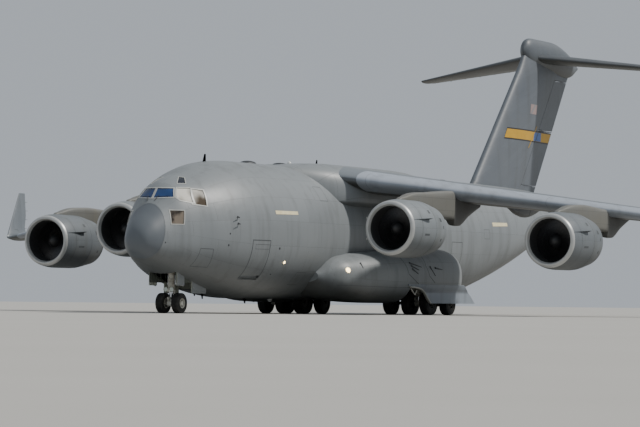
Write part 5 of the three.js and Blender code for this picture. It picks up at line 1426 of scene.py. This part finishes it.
# Nose gear bay and its doors: a green-grey primed box with ribs, a short pair of doors beside the
# leg and a long pair behind it, each with a pale lower edge.
NOSE_DOORS = [
    # outline in Y and Z of each door of a pair
    [(1.55, 2.0), (1.62, 1.42), (2.25, 1.3), (2.25, 1.95)],
    [(3.0, 1.9), (3.02, 1.36), (3.2, 1.18), (4.4, 0.98), (4.4, 1.5)],
]
NOSE_DOOR_X, NOSE_DOOR_THICKNESS = 0.8, 0.045
bay_primer = two_tones("bay_primer", "#3c413c", "#5c625a", 6.0, 6.0, 0.7)
bay_parts = [block((way * 0.73, 3.0, 2.12), (0.02, 3.0, 1.25), 0.004) for way in (1, -1)]
bay_parts += [block((way * 0.69, 1.6 + 0.46 * i, 2.18), (0.06, 0.03, 1.1), 0.008)
              for i in range(7) for way in (1, -1)]
finish_piece("nose_bay_walls", gather(bay_parts), [bay_primer], "airframe")
door_parts = []
for outline in NOSE_DOORS:
    for way in (1, -1):
        leaf = bmesh.new()
        corners = [leaf.verts.new((way * NOSE_DOOR_X, y, z)) for y, z in outline]
        leaf.faces.new(corners)
        bmesh.ops.bevel(leaf, geom=list(leaf.verts), offset=0.07, segments=4, affect="VERTICES")
        leaf.normal_update()
        if leaf.faces[:][0].normal.x * way < 0:
            bmesh.ops.reverse_faces(leaf, faces=leaf.faces)
        thicken(leaf, NOSE_DOOR_THICKNESS)
        for face in leaf.faces:
            face.normal_update()
            face.material_index = 1 if abs(face.normal.x) < 0.5 else 0
        door_parts.append(leaf)
finish_piece("nose_gear_doors", gather(door_parts), [hull_paint, door_edge_highlight_paint], "airframe")

# Seams, hatches and markings of the fuselage: a door or hatch shows as a dark line of sealant in
# the skin, and covers that fit flush need no more. The pale strips are formation lights.


def hull_x(y, z):
    """How far out the fuselage's side lies at a height, or 0 outside it."""
    half_width, top, middle, bottom = hull_at(math.sqrt(max(0, y - NOSE_TIP_Y)))
    share = (z - middle) / (top - middle) if z > middle else (middle - z) / (middle - bottom)
    power = ROUND if z > middle else SQUARER
    return (half_width + SKIN) * (1 - share ** power) ** (1 / power) if 0 <= share < 1 else 0.0


def seam_ring(form, planes_at, width):
    """The ring of a skin between an outline and the same outline grown by a width."""
    ring = cut_out(form.copy(), planes_at(width))
    cut_out(ring, planes_at(0)).free()
    return swell(ring, SEAM_PROUD)


SEAM_PROUD, STRIP_PROUD = 0.004, 0.008
SIDE_X = (0.5, 4)  # a cut through the port side reaches from and to these places
side_form = cut_out(hull_form.copy(), prism([(1, 1), (44, 1), (44, 7.3), (1, 7.3)], 0, *SIDE_X))
SIDE_SEAMS = [
    # outline in Y and Z, width of the line
    ([(1.62, 2.3), (2.45, 2.26), (2.3, 3.12), (1.66, 3.14)], 0.02),
    ([(5.05, 3.2), (6.22, 3.2), (6.22, 3.42), (5.05, 3.42)], 0.012),
    ([(27.3, 1.9), (28.6, 1.9), (28.6, 4.0), (27.3, 4.0)], 0.03),
    ([(9.9, 1.5), (10.9, 1.5), (10.9, 2.1), (9.9, 2.1)], 0.018),
    ([(31.6, 4.3), (32.3, 4.3), (32.3, 4.8), (31.6, 4.8)], 0.018),
    ([(12.2, 5.8), (13.0, 5.8), (13.0, 6.5), (12.2, 6.5)], 0.018),
]
seams = [seam_ring(side_form, crew_opening, 0.05)]
for outline, width in SIDE_SEAMS:
    grown = seam_ring(side_form, lambda grow: prism(outline, 0, *SIDE_X, grow=grow), width)
    seams += [grown.copy(), other_side(grown)]
    grown.free()
# Sealant: dark grey rubber in the gaps.
sealant = two_tones("seam_sealant", "#3b3f42", "#565b5d", 11.0, 5.0, 0.7)
finish_piece("door_and_hatch_seams", gather(seams), [sealant], "airframe")

STRIPS = [
    # outline in Y and Z
    [(6.86, 4.95), (9.2, 4.98), (9.2, 5.15), (6.86, 5.13)],
    [(32.85, 5.02), (34.9, 5.08), (34.9, 5.27), (32.85, 5.24)],
]
strips = []
for outline in STRIPS:
    strip = swell(cut_out(side_form.copy(), prism(outline, 0, *SIDE_X)), STRIP_PROUD)
    strips += [strip.copy(), other_side(strip)]
    strip.free()
# Strips: yellowed plastic.
strip_plastic = two_tones("formation_strip", "#cdbf95", "#efe6c4", 8.0, 4.0, 0.5)
finish_piece("formation_strips", gather(strips), [strip_plastic], "airframe")

# Fin band: a yellow band with dark edges, a blue block on it and a slanted yellow line, painted on
# the fin and carried on over the lower rudder. The patch above the band is plain.
FIN_MARKS = [
    # outline in Y and Z, place in band_paints, how far it stands off the paint
    ([(40.93, 10.47), (49.4, 10.47), (49.4, 11.17), (41.45, 11.17)], 1, 0.006),
    ([(41.0, 10.55), (49.4, 10.55), (49.4, 11.09), (41.42, 11.09)], 0, 0.009),
    ([(45.5, 10.56), (46.95, 10.56), (46.95, 11.08), (45.6, 11.08)], 2, 0.012),
    ([(44.62, 10.08), (44.72, 10.08), (46.06, 11.45), (45.96, 11.45)], 0, 0.014),
    ([(44.7, 12.15), (45.75, 12.15), (45.85, 12.74), (44.8, 12.74)], 3, 0.006),
    ([(44.7, 12.15), (44.95, 12.15), (45.7, 12.74), (45.4, 12.74)], 4, 0.009),
]
# Gloss paints of the band, a little faded, in the order that the table counts them.
band_paints = []
for name, low, high in (("band_yellow", "#b48a20", "#cfa22c"), ("band_black", "#1d1e1f", "#2b2c2d"),
                        ("band_blue", "#3c5f9c", "#5377b4"), ("patch_pink", "#8f7c7b", "#a18c89"),
                        ("patch_grey", "#7b7a7d", "#8b8a8c")):
    paint = two_tones(name, low, high, 4.0, 6.0, 0.5)
    band_paints.append(paint)
marks = {"airframe": [], "rudder_lower": []}
hinge_low, hinge_high = rudder_line(10.0), rudder_line(11.6)  # below and above the band
lean = (hinge_high - hinge_low).normalized()
aft = Vector((0, lean.z, -lean.y))
aft *= math.copysign(1, aft.y)
for outline, index, lift in FIN_MARKS:
    for near, far in ((0.02, 2), (-2, -0.02)):
        for body, start, outward in (("airframe", -0.03, aft), ("rudder_lower", 0.06, -aft)):
            mark = cut_out(fin_form.copy(), prism(outline, 0, near, far))
            clip(mark, hinge_low + aft * start, outward)
            if mark.faces:
                marks[body].append(painted(swell(mark, lift), index))
for body, parts in marks.items():
    if parts:
        finish_piece(f"fin_band_{body}", gather(parts), band_paints, body)

# Rudder gap seals: thin plates fixed to the fin, which fill the gaps over, between and under the
# rudders, so that no light shows through them.
seal_parts = []
for low, high in ((7.785, 7.815), (11.205, 11.255), (14.42, 14.45)):
    seal = cut_out(fin_form.copy(), prism([(38, low), (52, low), (52, high), (38, high)], 0, -2, 2))
    clip(seal, rudder_line(low) + aft * 0.05, -aft)
    seal_parts.append(seal)
finish_piece("rudder_gap_seals", gather(seal_parts), [fin_paint], "airframe")

# Probes, ports and antennas: small pieces of dark heated metal that stand on the skin, with their
# bases sunk into it.
dark_metal = two_tones("probe_dark_metal", "#1f2124", "#3b3e42", 25.0, 4.0, 0.5, metallic=0.3)


def plate(points, thickness):
    """A flat plate of any outline, thickened to one side."""
    bm = bmesh.new()
    bm.faces.new([bm.verts.new(p) for p in points])
    bmesh.ops.solidify(bm, geom=list(bm.faces), thickness=thickness)
    bmesh.ops.recalc_face_normals(bm, faces=bm.faces)
    return bm


def dome(centre, outward, radius, depth, segments=20):
    """A low round cap that faces outwards."""
    profile = [(-depth, radius), (0, radius), (depth * 0.5, radius * 0.86), (depth * 0.85, radius * 0.5),
               (depth, 0)]
    bm = turned(profile, segments)
    turn = Vector(outward).to_track_quat("Y", "Z").to_matrix()
    bmesh.ops.rotate(bm, verts=bm.verts, cent=(0, 0, 0), matrix=turn)
    return moved(bm, *centre)


PITOT_PROBES = [(3.75, 4.74), (3.73, 4.42)]
PORTS = [
    # round vane plates and static ports: Y, Z, radius
    (3.2, 3.9, 0.05), (3.16, 3.35, 0.06), (7.25, 3.28, 0.08), (-0.18, 3.4, 0.04), (7.3, 2.0, 0.05),
]
fittings = []
for y, z in PITOT_PROBES:
    x = hull_x(y, z)
    for way in (1, -1):
        fittings += [cone(Vector((way * (x - 0.02), y, z)), Vector((way * (x + 0.1), y - 0.02, z - 0.04)),
                          0.04, 0.024, 12),
                     cone(Vector((way * (x + 0.1), y, z - 0.04)), Vector((way * (x + 0.1), y - 0.26, z - 0.04)),
                          0.028, 0.018, 12)]
for y, z, radius in PORTS:
    x = hull_x(y, z)
    for way in (1, -1):
        fittings.append(dome((way * (x - 0.01), y, z), (way, 0, 0), radius, 0.02, 16))
ANTENNAS = [
    # blade antennas on the centre line: root front Y, chord, root Z, height (below the belly if negative)
    (5.3, 0.36, 7.5, 0.42), (17.4, 0.3, 7.8, 0.35), (4.45, 0.28, 1.2, -0.34), (5.24, 0.28, 1.1, -0.38),
    (26.0, 0.3, 7.6, 0.3), (9.6, 0.32, 0.82, -0.3),
]
for y, chord, z, height in ANTENNAS:
    for way in (1, -1):
        fittings.append(plate([(0.0, y, z), (0.0, y + chord, z), (0.0, y + chord * 0.95, z + height),
                               (0.0, y + chord * 0.5, z + height)], way * 0.02))
BLISTERS = [
    # low domes on the crown: Y, half length, half width, height, root Z
    (10.0, 0.55, 0.4, 0.16, 7.62), (13.45, 0.5, 0.36, 0.12, 7.7), (26.1, 0.3, 0.25, 0.14, 7.68),
    (29.1, 0.6, 0.36, 0.14, 7.6), (33.1, 0.42, 0.3, 0.12, 7.6),
]
for y, half_length, half_width, height, z in BLISTERS:
    bm = bmesh.new()
    bmesh.ops.create_uvsphere(bm, u_segments=32, v_segments=16, radius=1)
    bmesh.ops.scale(bm, verts=bm.verts, vec=(half_width, half_length, height))
    fittings.append(moved(bm, 0, y, z))
finish_piece("probes_and_antennas", gather(fittings), [dark_metal], "airframe")

# Wipers: one blade and its arm on each front pane, of dark metal, parked along the pane's lower
# edge and fixed to the skin below it.


def nose_y(x, z):
    """Where the nose's skin lies ahead of a place seen from the front."""
    low, high = NOSE_TIP_Y, 6.0
    for _ in range(24):
        middle = (low + high) / 2
        low, high = (low, middle) if hull_x(middle, z) > x else (middle, high)
    return high


wiper_parts = []
for way in (1, -1):
    for (x0, z0), (x1, z1), radius in (((0.2, 5.42), (0.3, 5.7), 0.014), ((0.12, 5.62), (0.82, 5.66), 0.011)):
        a, b = [Vector((way * x, nose_y(x, z) - 0.035, z)) for x, z in ((x0, z0), (x1, z1))]
        wiper_parts.append(cone(a, b, radius, radius, 8))
finish_piece("windscreen_wipers", gather(wiper_parts), [dark_metal], "airframe")

# Lamps: clear domes over bright bulbs, set in the skin of the fuselage, pods, wing tips and fin.
# The two landing lamps on each side are lit.
LAMPS = [
    # kind, place, outward, radius
    ("lit", (hull_x(8.09, 2.6) - 0.01, 8.09, 2.6), (1, 0, 0), 0.09),
    ("lit", (pod_side(13.06, 2.25) - 0.03, 13.06, 2.25), (0.8, -0.6, 0), 0.15),
    ("clear", (hull_x(16.94, 5.04), 16.94, 5.04), (1, 0, 0), 0.07),
    ("clear", (hull_x(16.74, 3.95), 16.74, 3.95), (1, 0, 0), 0.06),
    ("clear", (25.5, 27.1, 4.34), (0.5, -0.8, 0), 0.09), ("clear", (0.52, 48.0, 15.9), (1, 0, 0.2), 0.06),
]
# Lamp covers: ribbed plastic, which glows where the bulb is lit.
lamp_plastics = []
for name, low, high, glow in (("lamp_lit", "#ffe9b0", "#fff6dc", 6.0),
                              ("lamp_clear", "#c9cdca", "#e4e6e2", 0.0)):
    paint, tree, surface = new_material(name)
    place = node(tree, "ShaderNodeTexCoord")
    ripple = node(tree, "ShaderNodeTexNoise", {"Vector": place.outputs["Object"], "Scale": 40.0})
    tone = node(tree, "ShaderNodeMix", {"Factor": ripple.outputs["Fac"], "A": srgb(low), "B": srgb(high)},
                data_type="RGBA")
    tree.links.new(tone.outputs["Result"], surface.inputs["Base Color"])
    surface.inputs["Roughness"].default_value = 0.12
    surface.inputs["Emission Color"].default_value = srgb("#ffe2a0")
    surface.inputs["Emission Strength"].default_value = glow
    lamp_plastics.append(paint)
lamps = []
for kind, centre, outward, radius in LAMPS:
    cap = painted(dome(centre, outward, radius, radius * 0.45), 0 if kind == "lit" else 1)
    lamps += [cap.copy(), other_side(cap)]
    cap.free()
for centre, height in (((0, 14.5, 7.75), 0.2), ((0, 12.5, 0.76), -0.16)):
    lamps.append(painted(dome(centre, (0, 0, math.copysign(1, height)), 0.12, abs(height)), 1))
finish_piece("lamp_covers", gather(lamps), lamp_plastics, "airframe")

# Static wicks: thin tapered rods on the back edges of the winglets, ailerons and elevators. They
# are of a conducting plastic, and are let into the edge.
WICK_SUNK = 0.03


def wick(x, back_y, z, length, fall=0.0):
    """One rod that stands out aft from a back edge."""
    root = Vector((x, back_y - WICK_SUNK, z))
    return cone(root, root + Vector((0, length, -fall)), 0.012, 0.005, 6)


wick_parts = {"airframe": [], "aileron": [], "elevator": []}
for i in range(7):
    x = 18.4 + 0.85 * i
    front, z, chord, _, fall = wing_at(x)
    wick_parts["aileron"].append(wick(x, front + chord, z - fall, 0.3, 0.02))
for i in range(6):
    x = 3.2 + 1.1 * i
    front, z, chord, _ = stabilizer_at(x)
    wick_parts["elevator"].append(wick(x, front + chord, z, 0.28))
for i in range(4):
    x, front, z, chord, _, _ = winglet_at(1.0 + 0.55 * i)
    rod = wick(x, front + chord, z, 0.26)
    wick_parts["airframe"] += [rod.copy(), other_side(rod)]
    rod.free()
finish_piece("winglet_wicks", gather(wick_parts["airframe"]), [dark_metal], "airframe")
for name in ("aileron", "elevator"):
    wicks = gather(wick_parts[name])
    for side, sign in SIDES:
        finish_piece(f"{name}_wicks_{side}", sided(wicks, sign), [dark_metal],
                     f"{name}_{side}")
    wicks.free()

# Pod details: the curved edges of the air-system panels, dark gaps that lie on the pod's side, and
# their slanted louvres, dark marks that are painted shade in the louvres' openings.
POD_SIDE_X = (3.2, 6)
pod_side_form = cut_out(pod_form.copy(), prism([(12, 0.9), (28, 0.9), (28, 3.4), (12, 3.4)], 0, *POD_SIDE_X))
POD_LINES = [
    # a line's places in Y and Z, and its width
    ([(17.6, 3.15), (17.75, 2.7), (17.95, 2.14), (18.5, 1.85), (19.0, 1.62)], 0.035),
    ([(19.95, 3.2), (19.85, 2.6), (20.2, 2.06), (20.9, 1.7)], 0.04),
    ([(12.6, 1.5), (17.0, 1.42), (22.0, 1.5)], 0.014), ([(24.6, 3.0), (25.1, 2.4), (25.2, 1.8)], 0.03),
]
pod_marks = []
for places, width in POD_LINES:
    for (y0, z0), (y1, z1) in zip(places, places[1:]):
        across = Vector((y1 - y0, z1 - z0)).normalized() * width / 2
        outline = [(y0 - across.y, z0 + across.x), (y1 - across.y, z1 + across.x),
                   (y1 + across.y, z1 - across.x), (y0 + across.y, z0 - across.x)]
        pod_marks.append(swell(cut_out(pod_side_form.copy(), prism(outline, 0, *POD_SIDE_X)), 0.005))
LOUVRES = [
    # Y and Z of each end
    ((18.2, 2.72), (19.3, 2.52)), ((18.25, 2.58), (19.0, 2.36)), ((18.3, 2.42), (18.9, 2.16)),
    ((20.3, 2.56), (20.9, 2.08)), ((20.9, 2.5), (21.8, 2.42)), ((14.1, 2.66), (14.12, 2.38)),
]
for (y0, z0), (y1, z1) in LOUVRES:
    a, b = [Vector((pod_side(y, z) + 0.005, y, z)) for y, z in ((y0, z0), (y1, z1))]
    pod_marks.append(cone(a, b, 0.055, 0.02, 10))
pod_mark_parts = gather(pod_marks)
for side, sign in SIDES:
    finish_piece(f"pod_seams_and_louvre_shade_{side}", sided(pod_mark_parts, sign),
                 [sealant], "airframe")
pod_mark_parts.free()

# Well door stays: enamelled rods that hold the door open. A bracket shows at its front, and two
# arms run from its inside into the well.
STAYS = [
    # start, end, radius
    ((5.24, 18.3, 1.42), (5.24, 18.85, 1.06), 0.035), ((5.24, 18.85, 1.06), (5.24, 19.1, 1.36), 0.035),
    ((5.2, 24.2, 1.2), (4.0, 24.2, 1.44), 0.05), ((5.2, 20.3, 1.2), (4.0, 20.3, 1.44), 0.05),
]
stay_parts = [cone(Vector((way * start[0], *start[1:])), Vector((way * end[0], *end[1:])), radius, radius, 12)
              for way in (1, -1) for start, end, radius in STAYS]
finish_piece("well_door_stays", gather(stay_parts), [leg_enamel], "airframe")

# Nacelle panels: the latch line of the fan cowl, small vents and an access door on each side, as
# dark lines and patches that lie on the cowl.
COWL_MARKS = [
    # first and last Y after the inlet, first and last angle over the horizontal
    (0.9, 0.92, -60, 60), (2.5, 2.52, -150, 150), (1.2, 1.75, -14, -10), (3.1, 3.4, 16, 24),
    (3.5, 3.62, 2, 8), (2.0, 2.2, 32, 40), (3.3, 3.5, -26, -20),
]
nacelle_marks = []
for y0, y1, angle0, angle1 in COWL_MARKS:
    bm = bmesh.new()
    bmesh.ops.create_grid(bm, x_segments=3, y_segments=24, size=1)
    for vert in bm.verts:
        y = y0 + (y1 - y0) * (vert.co.x + 1) / 2
        angle = math.radians(angle0 + (angle1 - angle0) * (vert.co.y + 1) / 2)
        radius = outside_at(math.sqrt(y))[0] + 0.006
        vert.co = (radius * math.cos(angle), y, radius * math.sin(angle))
    nacelle_marks.append(bm)
nacelle_side = gather(nacelle_marks)
nacelle_both = gather([nacelle_side.copy(), other_side(nacelle_side)])
nacelle_side.free()
for number, sign, x, inlet_y, axis_z in ENGINES:
    finish_piece(f"engine_{number}_cowl_marks", moved(nacelle_both.copy(), sign * x, inlet_y, axis_z),
                 [sealant], "airframe")
nacelle_both.free()

# Structure under the skins: grey paint on the outer faces, and quilted pale lining on the inner
# ones. It shows through the open doors and round the edges of the openings.
structure, tree, surface = new_material("structure_and_lining")
place = node(tree, "ShaderNodeTexCoord")
split = node(tree, "ShaderNodeSeparateXYZ", {"Vector": place.outputs["Object"]})
up = node(tree, "ShaderNodeMath", {0: split.outputs["Z"], 1: BARREL["axis_z"]}, operation="SUBTRACT")
radial = node(tree, "ShaderNodeCombineXYZ", {"X": split.outputs["X"], "Z": up.outputs[0]})
facing = node(tree, "ShaderNodeVectorMath", {0: place.outputs["Normal"], 1: radial.outputs["Vector"]},
              operation="DOT_PRODUCT")
outer = node(tree, "ShaderNodeMath", {0: facing.outputs["Value"], 1: 0.0}, operation="GREATER_THAN")
quilt = node(tree, "ShaderNodeTexBrick", {
    "Vector": place.outputs["Object"], "Color1": srgb("#a3a79c"), "Color2": srgb("#8f948a"),
    "Mortar": srgb("#5f635b"), "Scale": 1.0, "Mortar Size": 0.008, "Brick Width": 0.5, "Row Height": 0.25})
spots = node(tree, "ShaderNodeTexNoise", {"Vector": place.outputs["Object"], "Scale": 2.0, "Detail": 6.0})
skin_tone = node(tree, "ShaderNodeMix", {"Factor": spots.outputs["Fac"], "A": srgb("#6d7274"),
                                         "B": srgb("#82878a")}, data_type="RGBA")
tone = node(tree, "ShaderNodeMix", {"Factor": outer.outputs[0], "A": quilt.outputs["Color"],
                                    "B": skin_tone.outputs["Result"]}, data_type="RGBA")
tree.links.new(tone.outputs["Result"], surface.inputs["Base Color"])
surface.inputs["Roughness"].default_value = 0.62
bump = node(tree, "ShaderNodeBump", {"Height": quilt.outputs["Fac"], "Strength": 0.4, "Distance": 0.01})
tree.links.new(bump.outputs["Normal"], surface.inputs["Normal"])

# Hold floor and ramp: grey-painted aluminium planks, screwed to the beams below and worn bare in
# streaks by loads.
hold_floor, tree, surface = new_material("hold_floor_planks")
place = node(tree, "ShaderNodeTexCoord")
turn = node(tree, "ShaderNodeMapping", {"Vector": place.outputs["Object"], "Rotation": (0, 0, math.pi / 2)})
planks = node(tree, "ShaderNodeTexBrick", {
    "Vector": turn.outputs["Vector"], "Color1": srgb("#5d6163"), "Color2": srgb("#6d7173"),
    "Mortar": srgb("#26282a"), "Scale": 1.0, "Mortar Size": 0.012, "Brick Width": 1.2, "Row Height": 0.19})
scratches = node(tree, "ShaderNodeTexNoise", {"Vector": turn.outputs["Vector"], "Scale": 14.0, "Detail": 8.0})
bare = node(tree, "ShaderNodeMapRange", {"Value": scratches.outputs["Fac"], "From Min": 0.55, "From Max": 0.7})
tone = node(tree, "ShaderNodeMix", {"Factor": bare.outputs["Result"], "A": planks.outputs["Color"],
                                    "B": srgb("#a3a5a5")}, data_type="RGBA")
tree.links.new(tone.outputs["Result"], surface.inputs["Base Color"])
surface.inputs["Metallic"].default_value = 0.4
surface.inputs["Roughness"].default_value = 0.5
bump = node(tree, "ShaderNodeBump", {"Height": planks.outputs["Fac"], "Strength": 0.4, "Distance": 0.006})
tree.links.new(bump.outputs["Normal"], surface.inputs["Normal"])

# Flight deck seats and panel: dark woven covers over moulded shells, which show only through the
# glass.
seat_cloth, tree, surface = new_material("seat_cloth")
place = node(tree, "ShaderNodeTexCoord")
weave = node(tree, "ShaderNodeTexWave", {"Vector": place.outputs["Object"], "Scale": 60.0, "Distortion": 2.0})
tone = node(tree, "ShaderNodeMix", {"Factor": weave.outputs["Fac"], "A": srgb("#2c2f31"), "B": srgb("#45494b")},
            data_type="RGBA")
tree.links.new(tone.outputs["Result"], surface.inputs["Base Color"])
surface.inputs["Roughness"].default_value = 0.85
bump = node(tree, "ShaderNodeBump", {"Height": weave.outputs["Fac"], "Strength": 0.3, "Distance": 0.002})
tree.links.new(bump.outputs["Normal"], surface.inputs["Normal"])

# The solids that show as they are, each with the material of what it stands for.
CARRIED_OVER = [
    (structure, ["nose_section", "fuselage_crown", "forward_wall_port", "forward_wall_starboard",
                 "aft_wall_port", "aft_wall_starboard", "tail_section", "cargo_door", "crew_door"]),
    (hold_floor, ["cargo_floor", "cargo_ramp"]), (seat_cloth, ["flight_deck_seats"]),
]
for material, nodes in CARRIED_OVER:
    for name in nodes:
        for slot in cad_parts[name].material_slots:
            slot.material = material
hull_form.free()
side_form.free()
pod_side_form.free()
